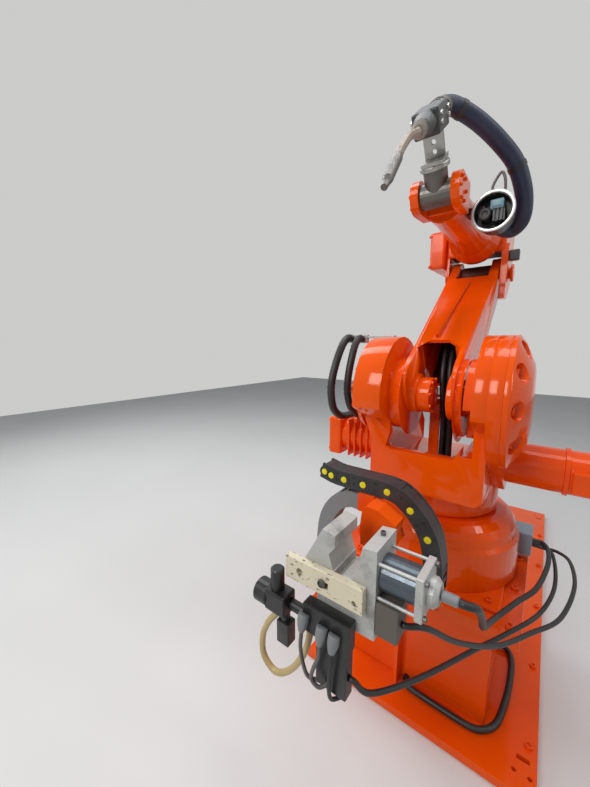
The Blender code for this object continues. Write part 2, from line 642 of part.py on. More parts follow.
def buildEnergyChain():
    guideTop = 0.9965 - chainThickness / 2 - touchGap
    stopX = -0.05
    chainStrand("energy_chain", [(-0.172, 1.007), (-0.155, 1.003), (-0.12, 0.9965), (-0.04, 0.9965), (0.0, 0.9965), (0.03, 0.995),
                                 (0.06, 0.986), (0.10, 0.953), (0.132, 0.902), (0.145, 0.84), (0.147, 0.80),
                                 (0.147, 0.7654)], 0.026)
    chainStrand("energy_chain_return", [(stopX - touchGap, 0.944), (-0.078, 0.944), (-0.112, 0.928), (-0.140, 0.894),
                                        (-0.156, 0.852), (-0.162, 0.806), (-0.163, 0.76)], 0.026)
    face = -0.70
    shell = prism([(-0.012, 0.87), (-0.015, 0.92), (-0.01, 0.965), (0.0, guideTop), (0.03, guideTop - 0.002),
                   (0.075, 0.948), (0.070, 0.92), (0.078, 0.899), (0.06, 0.87)], "y", face, -0.64)
    shelf = block((stopX, -0.004), (-0.645, chainRear), (0.925, guideTop), 0.001)
    leg = prism([(face, 0.88), (-0.645, 0.88), (-0.645, bracketTop(-0.645) + 0.001), (face, bracketTop(face) + 0.001)],
                "x", 0.0, 0.035)
    foot = block((0.01, 0.171), (-0.66, chainRear), (0.7505, 0.765), 0.001)
    combine(shell, [shelf, leg, foot], "UNION")
    finish(shell, "chain_guide", "paint")


# Hoses and cables that the machine holds from end to end

# One route in three stretches, with a small gap where one body's stretch hands over to the next
def buildTorchHose(upper, roll, tool):
    radius = 0.026
    route = smoothRoute([(0.0, -0.2505, 2.0776), (0.0, -0.234, 2.0905), (0.012, -0.208, 2.099), (0.04, -0.175, 2.095),
                         (0.085, -0.135, 2.068), (0.135, -0.085, 2.022), (0.178, -0.035, 1.965), (0.202, 0.005, 1.895),
                         (0.208, 0.038, 1.835), (0.200, 0.066, 1.797), (0.176, 0.084, 1.780), (0.152, 0.070, 1.781),
                         (0.1375, 0.044, 1.789), (0.137, 0.022, 1.7925), (0.137, 0.008, 1.7935),
                         (0.137, -0.0078, 1.7935)], 2)
    gap = 0.0034
    cuts = [0, 6, 12, len(route) - 1]
    stretches = []
    for first, last in zip(cuts, cuts[1:]):
        points = [p.copy() for p in route[first:last + 1]]
        if first:
            points[0] += (points[1] - points[0]).normalized() * gap
        if last < len(route) - 1:
            points[-1] -= (points[-1] - points[-2]).normalized() * gap
        stretches.append(points)
    for name, points, pivot in zip(("tool", "wrist", "arm"), stretches, (tool, roll, upper)):
        hose("torch_hose_" + name, points, radius, "navy", pivot, 1)


def buildMotorHoses(turret):
    top = shoulderZ + housingRadius - 0.0028 + touchGap
    clamp = block((-0.36, -0.15), (-0.172, -0.148), (top, top + 0.008), 0.001)
    jaw = block((-0.36, -0.262), (-0.172, -0.148), (top - 0.02, top + 0.014), 0.003)
    combine(clamp, [jaw], "UNION")
    finish(shiftTo(clamp, turret), "hose_clamp", "steel", turret)
    hose("motor_hose_1", [(-0.334, -0.1724, 1.392), (-0.334, -0.198, 1.392), (-0.335, -0.231, 1.372),
                          (-0.338, -0.268, 1.318), (-0.342, -0.298, 1.245), (-0.345, -0.304, 1.185),
                          (-0.351, -0.275, 1.115), (-0.361, -0.210, 1.073), (-0.373, -0.142, 1.056),
                          (-0.380, -0.092, 1.051), (-0.384, -0.045, 1.048)], 0.016, "black", turret, 2)
    hose("motor_hose_2", [(-0.285, -0.1724, 1.390), (-0.285, -0.195, 1.390), (-0.286, -0.224, 1.367),
                          (-0.288, -0.250, 1.308), (-0.292, -0.266, 1.235), (-0.296, -0.260, 1.175),
                          (-0.300, -0.225, 1.118), (-0.306, -0.160, 1.078), (-0.315, -0.110, 1.056),
                          (-0.320, -0.080, 1.049), (-0.322, -0.045, 1.047)], 0.015, "black", turret, 2)


def buildHarness(turret, shoulder):
    hose("harness_lower", [(0.038, -0.08, 0.9258), (0.038, -0.08, 0.95), (0.038, -0.085, 1.0), (0.04, -0.09, 1.07), (0.04, -0.10, 1.13)],
         0.017, "black", turret, 2)
    upper = hose("harness_upper", [(0.035, 0.03, 0.15), (0.03, 0.01, 0.22), (0.02, -0.0075, 0.32), (0.015, -0.0075, 0.50),
                                   (0.01, -0.0075, 0.60), (0.01, 0.0, 0.68)], 0.022, "black", None, 2)
    upper.parent = shoulder


def buildCables():
    axisY = stationY + 0.056
    hose("station_cable_1", [(0.2363, axisY, 0.922), (0.247, axisY, 0.922), (0.262, -0.80, 0.905), (0.262, -0.71, 0.82),
                             (0.255, -0.58, 0.70), (0.270, -0.44, 0.63), (0.312, -0.30, 0.605), (0.356, -0.19, 0.60),
                             (0.384, -0.03, 0.60), (0.384, 0.08, 0.60), (0.366, 0.125, 0.60), (0.3453, 0.125, 0.60),
                             (0.3353, 0.125, 0.60)], 0.0075, "black", None, 2)
    hose("station_cable_2", [(0.0603, stationY - 0.003, 0.70), (0.071, stationY - 0.003, 0.70), (0.10, -0.86, 0.672),
                             (0.16, -0.74, 0.64), (0.235, -0.56, 0.605), (0.300, -0.42, 0.585), (0.368, -0.27, 0.575),
                             (0.405, -0.10, 0.575), (0.402, 0.09, 0.575), (0.375, 0.15, 0.575), (0.3453, 0.15, 0.575),
                             (0.3353, 0.15, 0.575)], 0.006, "black", None, 2)
    hose("station_cable_3", [(0.1463, -0.845, 0.845), (0.156, -0.845, 0.845), (0.185, -0.81, 0.83), (0.225, -0.70, 0.735),
                             (0.285, -0.54, 0.635), (0.350, -0.40, 0.60), (0.415, -0.27, 0.585), (0.455, -0.08, 0.585),
                             (0.450, 0.09, 0.575), (0.415, 0.165, 0.56), (0.375, 0.175, 0.553), (0.355, 0.175, 0.553),
                             (0.3353, 0.175, 0.553)], 0.006, "black", None, 2)
    hose("air_tube", [(-0.124, stationY - 0.01, 0.7675), (-0.124, stationY - 0.01, 0.753), (-0.150, stationY - 0.012, 0.715),
                      (-0.170, stationY - 0.012, 0.664), (-0.166, stationY - 0.012, 0.613),
                      (-0.130, stationY - 0.01, 0.590), (-0.088, stationY - 0.008, 0.622),
                      (-0.054, stationY - 0.004, 0.680), (-0.0385, stationY - 0.003, 0.735),
                      (-0.038, stationY - 0.003, 0.7597)], 0.0075, "tubing", None, 2)
    level = plateThickness + 0.0115
    hose("plate_hose", [(0.2553, 0.17, 0.055), (0.266, 0.17, 0.055), (0.298, 0.155, level), (0.312, 0.10, level),
                        (0.313, 0.0, level), (0.306, -0.10, level), (0.288, -0.20, level), (0.25, -0.25, level),
                        (0.205, -0.264, level), (0.12, -0.264, level), (0.045, -0.262, level), (0.002, -0.258, level),
                        (-0.016, -0.243, level), (-0.018, -0.2305, level), (-0.018, -0.2203, level)],
         0.011, "black", None, 2)


def build():
    clearScene()
    turret = addPivot("turret_pivot", (0, 0, 0.74), (0, 0, 0))
    shoulder = addPivot("shoulder_pivot", (0, shoulderY, shoulderZ - 0.74), (-lowerArmLean, 0, 0), turret)
    elbow = addPivot("elbow_pivot", (0, 0, lowerArmLength), (lowerArmLean, 0, 0), shoulder)
    upper = addPivot("upper_arm_pivot", (0, 0, 0), (upperArmTilt, 0, 0), elbow)
    roll = addPivot("roll_pivot", (0, -upperArmReach, upperArmOffset), (0, 0, 0), upper)
    tilt = addPivot("tilt_pivot", (0, 0, 0), (toolTilt - upperArmTilt, 0, 0), roll)
    tool = addPivot("tool_pivot", (0, 0, 0), (0, 0, 0), tilt)
    buildCarriage()
    buildPedestal()
    buildBase()
    buildTurret(turret)
    buildHousings(turret)
    buildMotors(turret)
    buildLowerArm(shoulder)
    buildElbowLink(elbow)
    buildUpperArm(upper)
    buildWrist(roll, tilt)
    buildTool(tool)
    buildDriveUnit(upper)
    buildStation()
    buildTorchHose(upper, roll, tool)
    buildMotorHoses(turret)
    buildHarness(turret, shoulder)
    buildEnergyChain()
    buildCables()


build()
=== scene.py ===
import math

import bmesh
import bpy
from mathutils import Matrix, Vector


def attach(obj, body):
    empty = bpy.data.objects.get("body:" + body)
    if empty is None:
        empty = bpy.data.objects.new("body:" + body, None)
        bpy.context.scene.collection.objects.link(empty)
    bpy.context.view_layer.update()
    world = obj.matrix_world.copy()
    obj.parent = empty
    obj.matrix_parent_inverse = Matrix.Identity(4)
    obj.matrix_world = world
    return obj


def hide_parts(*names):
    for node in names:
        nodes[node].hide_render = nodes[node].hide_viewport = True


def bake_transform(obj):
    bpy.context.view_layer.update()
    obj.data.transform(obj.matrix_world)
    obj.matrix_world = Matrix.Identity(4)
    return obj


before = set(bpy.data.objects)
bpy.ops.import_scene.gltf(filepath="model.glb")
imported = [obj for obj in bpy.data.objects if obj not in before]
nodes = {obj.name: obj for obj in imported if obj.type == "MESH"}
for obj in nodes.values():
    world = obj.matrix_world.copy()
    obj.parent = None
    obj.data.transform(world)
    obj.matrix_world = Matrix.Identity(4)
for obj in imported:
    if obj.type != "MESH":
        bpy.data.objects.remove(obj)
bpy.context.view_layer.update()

# Where the arm's pieces stand at rest: the pivots' places, and how far each leans, in degrees
restPose = {
    "shoulder": (0, -0.2, 1.19),
    "lowerArmLean": -54.4,
    "elbow": (0, 0.5188, 1.7046),
    "upperArmTilt": 1.7,
    "wristPlace": (0, -0.7645, 0.15),
    "wrist": (0, -0.2498, 1.8318),
    "toolTilt": -52,
}

# Camera: where the photograph was taken, from its vanishing points
cameraSet = {
    "place": (0.32, -1.4, 1.364),
    "right": (0.792, 0.610, 0.0),
    "forward": (-0.6036, 0.7838, -0.1461),
    "lens": 19.95,
    "sensor": 36.0,
}

lightSet = {
    "skyColour": (0.90, 0.94, 1.0),
    "skyStrength": 0.22,
    "backdrop": (0.60, 0.60, 0.595),
    "floorLight": (0.74, 0.735, 0.72),
    "floorDark": (0.64, 0.635, 0.62),
    # name, place, what it points at, size, watts, colour
    "lamps": (
        ("skylight", (-0.9, 0.3, 5.0), (0, 0.2, 0.8), (1.3, 7.0), 150, (0.97, 0.98, 1.0)),
        ("frontFill", (-0.9, -4.4, 3.6), (0, 0, 1.0), (1.8, 1.8), 112, (1.0, 0.99, 0.97)),
        ("sideWindow", (-5.0, -1.5, 3.0), (0, 0, 1.0), (4.0, 1.0), 48, (0.95, 0.97, 1.0)),
        ("rightTube", (3.4, 0.5, 3.8), (0, 0.2, 1.0), (0.25, 5.0), 44, (0.98, 0.99, 1.0)),
    ),
}


def turned(place, degrees):
    return Matrix.Translation(place) @ Matrix.Rotation(math.radians(degrees), 4, "X")


lowerArmSpace = turned(restPose["shoulder"], restPose["lowerArmLean"])
upperArmSpace = turned(restPose["elbow"], restPose["upperArmTilt"])
forkSpace = upperArmSpace @ Matrix.Translation(restPose["wristPlace"])
toolSpace = turned(restPose["wrist"], restPose["toolTilt"])


def placeCamera(settings):
    data = bpy.data.cameras.new("camera")
    data.sensor_fit = "HORIZONTAL"
    data.sensor_width = settings["sensor"]
    data.lens = settings["lens"]
    data.clip_start = 0.02
    item = bpy.data.objects.new("camera", data)
    bpy.context.collection.objects.link(item)
    forward = Vector(settings["forward"]).normalized()
    right = Vector(settings["right"]).normalized()
    up = right.cross(forward).normalized()
    turn = Matrix((right, up, -forward)).transposed()
    item.matrix_world = Matrix.Translation(settings["place"]) @ turn.to_4x4()
    bpy.context.scene.camera = item
    bpy.context.scene.view_settings.view_transform = "Standard"


def addArea(name, place, target, size, power, colour):
    data = bpy.data.lights.new(name, "AREA")
    data.shape = "RECTANGLE"
    data.size = size[0]
    data.size_y = size[1]
    data.energy = power
    data.color = colour
    item = bpy.data.objects.new(name, data)
    bpy.context.collection.objects.link(item)
    item.location = place
    aim = Vector(target) - Vector(place)
    item.rotation_euler = aim.to_track_quat("-Z", "Y").to_euler()


# One wrapped socket: arithmetic on it adds Math nodes to its tree
class Signal:
    def __init__(self, look, socket):
        self.look = look
        self.socket = socket

    def math(self, operation, *values):
        inputs = dict(enumerate(values))
        return self.look.node("Math", {"operation": operation}, inputs)

    def __add__(self, other):
        return self.math("ADD", self, other)

    def __radd__(self, other):
        return self.math("ADD", other, self)

    def __sub__(self, other):
        return self.math("SUBTRACT", self, other)

    def __rsub__(self, other):
        return self.math("SUBTRACT", other, self)

    def __mul__(self, other):
        return self.math("MULTIPLY", self, other)

    def __rmul__(self, other):
        return self.math("MULTIPLY", other, self)

    def ramp(self, low, high):
        return self.look.node("MapRange", {"interpolation_type": "SMOOTHSTEP"}, {0: self, 1: low, 2: high})


class Look:
    def __init__(self, name):
        self.material = bpy.data.materials.new(name)
        self.material.use_nodes = True
        self.tree = self.material.node_tree
        self.shader = self.tree.nodes["Principled BSDF"]

    def feed(self, slot, value):
        if isinstance(value, Signal):
            self.tree.links.new(value.socket, slot)
        elif slot.type == "RGBA" and len(value) == 3:
            slot.default_value = (*value, 1.0)
        else:
            slot.default_value = value

    # Any node: its type, its settings, its inputs by name or number, and the output wanted
    def node(self, kind, settings=None, inputs=None, output=0):
        node = self.tree.nodes.new("ShaderNode" + kind)
        for key, value in (settings or {}).items():
            setattr(node, key, value)
        for key, value in (inputs or {}).items():
            self.feed(node.inputs[key], value)
        return Signal(self, node.outputs[output])

    def coords(self, stretch=(1, 1, 1)):
        place = self.node("TexCoord", output="Object")
        return self.node("Mapping", None, {"Vector": place, "Scale": stretch})

    def noise(self, scale, detail=3.0, stretch=(1, 1, 1), roughness=0.5):
        inputs = {"Vector": self.coords(stretch), "Scale": scale, "Detail": detail, "Roughness": roughness}
        return self.node("TexNoise", None, inputs, "Fac")

    def colour(self, share, first, second):
        return self.node("Mix", {"data_type": "RGBA"}, {0: share, 6: first, 7: second}, 2)

    def bump(self, height, strength, distance):
        self.set("Normal", self.node("Bump", None, {"Height": height, "Strength": strength, "Distance": distance}))

    def set(self, name, value):
        self.feed(self.shader.inputs[name], value)


paintSet = {
    "bright": (0.90, 0.098, 0.001),
    "deep": (0.72, 0.052, 0.001),
    "dust": (0.55, 0.16, 0.05),
    "grime": (0.10, 0.045, 0.025),
    "smooth": 0.10,
    "dull": 0.20,
    "specular": 0.26,
    "tint": (1.0, 0.80, 0.70),
    "coat": 0.13,
    "peelSize": 240.0,
}


def paintLook(name, settings=paintSet):
    look = Look(name)
    cloud = look.noise(2.2, 4.0).ramp(0.35, 0.7)
    speck = look.noise(46.0, 6.0, roughness=0.7).ramp(0.63, 0.74)
    smear = look.noise(7.0, 6.0, (1, 1, 0.3), 0.68).ramp(0.56, 0.82)
    chips = look.noise(150.0, 2.0).ramp(0.735, 0.76) * look.noise(5.0, 2.0).ramp(0.48, 0.62)
    tone = look.colour(cloud * 0.6, settings["bright"], settings["deep"])
    dusty = look.colour(speck * 0.16 + smear * 0.26, tone, settings["dust"])
    look.set("Base Color", look.colour(chips * 0.75, dusty, settings["grime"]))
    look.set("Roughness", settings["smooth"] + cloud * (settings["dull"] - settings["smooth"]) + smear * 0.22)
    look.set("Specular IOR Level", settings["specular"])
    look.set("Specular Tint", settings["tint"])
    look.set("Coat Weight", settings["coat"])
    look.set("Coat Roughness", 0.04)
    peel = look.noise(settings["peelSize"], 2.0) * 0.6 + look.noise(26.0, 3.0) * 2.2 - chips * 0.8
    look.bump(peel, 0.09, 0.0010)
    return look.material


def metalLook(name, colour, roughness, metallic, grainScale, grainStrength, stretch, dirtShare):
    look = Look(name)
    stain = look.noise(16.0, 5.0, roughness=0.65).ramp(0.46, 0.76)
    grain = look.noise(grainScale, 4.0, stretch)
    spatter = look.noise(210.0, 1.0).ramp(0.68, 0.74)
    look.set("Base Color", look.colour(stain * dirtShare + spatter * 0.3, colour, (0.08, 0.07, 0.06)))
    look.set("Roughness", (grain - 0.5) * 0.25 + roughness + stain * 0.2)
    look.set("Metallic", metallic)
    look.bump(grain + spatter * 0.5, grainStrength, 0.0006)
    return look.material


def plasticLook(name, colour, roughness, dust=(0.20, 0.185, 0.17), dustShare=0.22):
    look = Look(name)
    film = look.noise(12.0, 5.0, roughness=0.6).ramp(0.48, 0.80)
    fine = look.noise(420.0, 2.0)
    look.set("Base Color", look.colour(film * dustShare, colour, dust))
    look.set("Roughness", (fine - 0.5) * 0.15 + roughness + film * 0.15)
    look.bump(fine, 0.15, 0.0004)
    return look.material


# Sprayed cream enamel with black weld spatter
def spatteredLook(name, colour, share):
    look = Look(name)
    spots = look.noise(95.0, 3.0, (0.7, 1, 1.3), 0.6).ramp(0.60, 0.66)
    wash = look.noise(13.0, 5.0).ramp(0.42, 0.78)
    scratch = look.noise(60.0, 2.0, (0.12, 1, 2.5)).ramp(0.66, 0.72)
    dirty = look.colour(wash * 0.30 + scratch * 0.25, colour, (0.33, 0.24, 0.13))
    look.set("Base Color", look.colour(spots * share, dirty, (0.05, 0.035, 0.025)))
    look.set("Roughness", 0.40 + wash * 0.2 + spots * 0.2)
    look.bump(spots + wash * 0.4, 0.2, 0.0008)
    return look.material


# Woven sleeve: fine ribs across the hose
def sleeveLook(name, colour, roughness):
    look = Look(name)
    weave = look.node("TexWave", {"wave_type": "BANDS", "bands_direction": "DIAGONAL"},
                      {"Vector": look.coords(), "Scale": 95.0, "Distortion": 1.5, "Detail": 2.0}, "Fac")
    film = look.noise(8.0, 5.0).ramp(0.45, 0.8)
    look.set("Base Color", look.colour(film * 0.35, colour, (0.055, 0.065, 0.10)))
    look.set("Roughness", roughness + weave * 0.12)
    look.bump(weave, 0.22, 0.0005)
    return look.material


# Colour, roughness, metal share, grain scale and strength, its stretch, and the dirt's share
metals = {
    "castAluminium": ((0.50, 0.50, 0.48), 0.52, 0.45, 190.0, 0.55, (1, 1, 1), 0.55),
    "machinedSteel": ((0.40, 0.39, 0.36), 0.34, 0.85, 90.0, 0.2, (1, 1, 10), 0.6),
    "darkSteel": ((0.15, 0.14, 0.13), 0.42, 0.75, 120.0, 0.35, (1, 1, 1), 0.6),
    "zincSteel": ((0.55, 0.54, 0.51), 0.30, 0.85, 140.0, 0.2, (1, 1, 1), 0.35),
    "cylinderBlue": ((0.085, 0.105, 0.125), 0.30, 0.55, 100.0, 0.2, (1, 1, 1), 0.35),
    "silverRing": ((0.58, 0.58, 0.58), 0.30, 0.7, 90.0, 0.15, (1, 1, 1), 0.3),
}

# Colour and roughness, and the dust's colour and share where they aren't the usual ones
hallDust = (0.20, 0.185, 0.17)
plastics = {
    "blackPlastic": ((0.012, 0.012, 0.013), 0.36),
    "blackRubber": ((0.011, 0.011, 0.012), 0.46, hallDust, 0.14),
    "chainPlastic": ((0.026, 0.027, 0.029), 0.44, hallDust, 0.16),
    "greyPlastic": ((0.20, 0.205, 0.21), 0.45),
    "darkGrey": ((0.045, 0.047, 0.050), 0.40),
    "stoneGrey": ((0.11, 0.105, 0.098), 0.46),
    "brownGrey": ((0.105, 0.090, 0.075), 0.5),
    "yellowPin": ((0.83, 0.72, 0.005), 0.34, (0.30, 0.24, 0.05), 0.25),
    "torchBeige": ((0.33, 0.25, 0.19), 0.42, (0.10, 0.08, 0.07), 0.5),
    "tubeYellow": ((0.50, 0.37, 0.16), 0.30, (0.25, 0.17, 0.08), 0.4),
    "ceramicGrey": ((0.30, 0.27, 0.24), 0.40, (0.08, 0.07, 0.06), 0.6),
    "boxBlue": ((0.20, 0.27, 0.33), 0.42),
    "paleBlue": ((0.22, 0.42, 0.50), 0.35),
    # painted shade: a dark brown-orange for the shadow inside the arm's and elbow's hollows, where the real paint
    # is the orange
    "hollowPaintedShade": ((0.10, 0.016, 0.006), 0.6, (0.03, 0.015, 0.01), 0.5),
}

finishes = {
    "paint": paintLook("orangePaint"),
    "creamPaint": spatteredLook("creamPaint", (0.70, 0.63, 0.47), 0.75),
    "navySleeve": sleeveLook("navySleeve", (0.012, 0.018, 0.045), 0.42),
}
finishes.update({name: metalLook(name, *facts) for name, facts in metals.items()})
finishes.update({name: plasticLook(name, *facts) for name, facts in plastics.items()})

nodeFinishes = {
    "castAluminium": ("station_casting", "station_end_plate"),
    "machinedSteel": ("tool_flange", "torch_bracket"),
    "darkSteel": ("tilt_housing", "torch_nozzle"),
    "zincSteel": ("hose_clamp",),
    "blackPlastic": ("drive_unit_shell", "station_valves", "air_regulator"),
    "blackRubber": ("motor_hose_1", "motor_hose_2", "harness_lower", "harness_upper", "station_cable_1",
                    "station_cable_2", "station_cable_3", "plate_hose"),
    "chainPlastic": ("energy_chain",),
    "greyPlastic": ("energy_chain_return", "station_gland"),
    "darkGrey": ("torch_holder", "hose_gland"),
    "brownGrey": ("station_block",),
    "creamPaint": ("station_face_bar",),
    "ceramicGrey": ("torch_collar",),
    "torchBeige": ("torch_neck",),
    "tubeYellow": ("air_tube",),
    "cylinderBlue": ("station_cylinder",),
    "boxBlue": ("connector_box",),
    "stoneGrey": ("drive_unit_motor",),
    "navySleeve": ("torch_hose_arm", "torch_hose_wrist", "torch_hose_tool"),
}


def dressFrame():
    chosen = {name: finish for finish, names in nodeFinishes.items() for name in names}
    for name, node in nodes.items():
        for slot in node.material_slots:
            slot.material = finishes[chosen.get(name, "paint")]


def buildStage(settings):
    bpy.ops.mesh.primitive_plane_add(size=16, location=(0, 2.0, -0.001))
    floor = bpy.context.object
    floor.name = "floor"
    look = Look("floorLook")
    cloud = look.noise(0.8, 5.0)
    look.set("Base Color", look.colour(cloud, settings["floorLight"], settings["floorDark"]))
    look.set("Roughness", 0.75)
    floor.data.materials.append(look.material)

    world = bpy.data.worlds.new("world")
    bpy.context.scene.world = world
    world.use_nodes = True
    tree = world.node_tree
    tree.nodes.clear()
    out = tree.nodes.new("ShaderNodeOutputWorld")
    sky = tree.nodes.new("ShaderNodeBackground")
    sky.inputs["Color"].default_value = (*settings["skyColour"], 1)
    sky.inputs["Strength"].default_value = settings["skyStrength"]
    backdrop = tree.nodes.new("ShaderNodeBackground")
    backdrop.inputs["Color"].default_value = (*settings["backdrop"], 1)
    backdrop.inputs["Strength"].default_value = 1.0
    path = tree.nodes.new("ShaderNodeLightPath")
    seen = path.outputs["Is Camera Ray"]
    for ray in ("Is Glossy Ray", "Is Transmission Ray"):
        either = tree.nodes.new("ShaderNodeMath")
        either.operation = "MAXIMUM"
        tree.links.new(seen, either.inputs[0])
        tree.links.new(path.outputs[ray], either.inputs[1])
        seen = either.outputs[0]
    mix = tree.nodes.new("ShaderNodeMixShader")
    tree.links.new(seen, mix.inputs[0])
    tree.links.new(sky.outputs[0], mix.inputs[1])
    tree.links.new(backdrop.outputs[0], mix.inputs[2])
    tree.links.new(mix.outputs[0], out.inputs[0])

    for lamp in settings["lamps"]:
        addArea(*lamp)


placeCamera(cameraSet)
buildStage(lightSet)
dressFrame()
print("stage and materials done")


def deselectAll():
    bpy.ops.object.select_all(action="DESELECT")


def pick(item):
    deselectAll()
    item.select_set(True)
    bpy.context.view_layer.objects.active = item


# The object's own place and turn go into its mesh; space is the frame that it was modelled in
def settle(item, space=None):
    if space:
        item.matrix_world = space @ item.matrix_world
    pick(item)
    bpy.ops.object.transform_apply(location=True, rotation=True, scale=True)


def addCylinder(radius, depth, place, axis="z", sides=32):
    deselectAll()
    turn = {"x": (0, math.pi / 2, 0), "y": (math.pi / 2, 0, 0), "z": (0, 0, 0)}[axis]
    bpy.ops.mesh.primitive_cylinder_add(vertices=sides, radius=radius, depth=depth, location=place, rotation=turn)
    item = bpy.context.object
    settle(item)
    return item


def addBlock(low, high):
    deselectAll()
    middle = [(a + b) / 2 for a, b in zip(low, high)]
    bpy.ops.mesh.primitive_cube_add(size=1, location=middle, scale=[b - a for a, b in zip(low, high)])
    item = bpy.context.object
    settle(item)
    return item


# Opens edit mode with only the faces chosen that pass the test
def editFaces(item, test):
    pick(item)
    bpy.ops.object.mode_set(mode="EDIT")
    bpy.ops.mesh.select_mode(type="FACE")
    bpy.ops.mesh.select_all(action="DESELECT")
    mesh = bmesh.from_edit_mesh(item.data)
    for face in mesh.faces:
        face.select_set(test(face))
    bmesh.update_edit_mesh(item.data)


def leaveEdit():
    bpy.ops.object.mode_set(mode="OBJECT")


def extrude(offset):
    bpy.ops.mesh.extrude_region_move(TRANSFORM_OT_translate={"value": offset})


# Extrudes the chosen end faces and scales them about the centre
def stepOut(offset, share, centre, axis="x"):
    extrude(offset)
    factors = tuple(1.0 if name == axis else share for name in "xyz")
    bpy.ops.transform.resize(value=factors, center_override=centre)


def applyBevel(item, width, segments=2, angle=35):
    modifier = item.modifiers.new("bevel", "BEVEL")
    modifier.width = width
    modifier.segments = segments
    modifier.limit_method = "ANGLE"
    modifier.angle_limit = math.radians(angle)
    pick(item)
    bpy.ops.object.modifier_apply(modifier="bevel")


def cutWith(item, cutter, operation="DIFFERENCE"):
    modifier = item.modifiers.new("cut", "BOOLEAN")
    modifier.operation = operation
    modifier.object = cutter
    pick(item)
    bpy.ops.object.modifier_apply(modifier="cut")
    bpy.data.objects.remove(cutter)


def joinAll(items):
    deselectAll()
    for item in items:
        item.select_set(True)
    bpy.context.view_layer.objects.active = items[0]
    bpy.ops.object.join()
    return items[0]


# Names the piece, gives it its finish and hangs it on its body
def finishPiece(item, name, finish, body, angle=35):
    item.name = name
    item.data.name = name
    item.data.materials.clear()
    item.data.materials.append(finishes[finish])
    pick(item)
    bpy.ops.object.shade_smooth_by_angle(angle=math.radians(angle))
    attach(item, body)
    return item


# Copies of one model, each with its own mesh, set at (place, direction) spots and joined
def scatter(model, name, finish, body, spots):
    copies = []
    for place, direction in spots:
        copy = model.copy()
        copy.data = model.data.copy()
        bpy.context.collection.objects.link(copy)
        turn = Vector(direction).to_track_quat("Z", "Y").to_matrix().to_4x4()
        copy.matrix_world = Matrix.Translation(place) @ turn
        settle(copy)
        copies.append(copy)
    return finishPiece(joinAll(copies), name, finish, body)


# Cap screw standing on z = 0: a round head with a hollow in it
def modelBolt(radius, height, sides=12):
    head = addCylinder(radius, height, (0, 0, height / 2 - 0.0005), "z", sides)
    editFaces(head, lambda face: face.normal.z > 0.9)
    bpy.ops.mesh.inset(thickness=radius * 0.12)
    bpy.ops.transform.translate(value=(0, 0, height * 0.1))
    bpy.ops.mesh.inset(thickness=radius * 0.30)
    extrude((0, 0, -height * 0.55))
    leaveEdit()
    return head


def smoothRoute(points, steps):
    places = [Vector(p) for p in points]
    places = [places[0] * 2 - places[1]] + places + [places[-1] * 2 - places[-2]]
    route = []
    for i in range(1, len(places) - 2):
        a, b, c, d = places[i - 1:i + 3]
        for k in range(steps):
            t = k / steps
            route.append(0.5 * (2 * b + (c - a) * t + (2 * a - 5 * b + 4 * c - d) * t * t
                                + (3 * b - a - 3 * c + d) * t ** 3))
    route.append(places[-2])
    return route


# A hose as a curve on a smooth route; ribs, if any, are its points' own radii
def runHose(name, route, radius, finish, body=None, ribs=0.0):
    curve = bpy.data.curves.new(name, "CURVE")
    curve.dimensions = "3D"
    curve.bevel_depth = radius
    curve.bevel_resolution = 4
    curve.use_fill_caps = True
    spline = curve.splines.new("POLY")
    spline.points.add(len(route) - 1)
    for i, place in enumerate(route):
        spline.points[i].co = (*place, 1.0)
        spline.points[i].radius = 1.0 - ribs * (i % 2)
    item = bpy.data.objects.new(name, curve)
    bpy.context.collection.objects.link(item)
    curve.materials.append(finishes[finish])
    if body:
        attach(item, body)
    return item


def evenRoute(points, pitch):
    fine = smoothRoute(points, 12)
    route = [fine[0]]
    for place in fine[1:]:
        if (place - route[-1]).length >= pitch:
            route.append(place)
    route[-1] = fine[-1]
    return route


gearCoverSet = {
    "inside": 0.2003,
    "seam": 0.236,
    "radius": 0.205,
    "motor": (0.0, 0.94),
    "motorRadius": 0.105,
    "boltCircle": 0.170,
    "bolts": 10,
    "boltSize": (0.0125, 0.011),
    "boltSeat": 0.0145,
    "pocket": 0.027,
    "pocketDepth": 0.08,
    "pocketMiddle": 0.054,
    "lidDepth": 0.006,
    "lidMiddle": 0.0035,
    # how far each step of the dome rises, and its size against the step before
    "dome": ((0.008, 1.0), (0.004, 0.972), (0.014, 0.90), (0.014, 0.80), (0.010, 0.84), (0.004, 0.80),
             (0.0015, 0.60)),
}


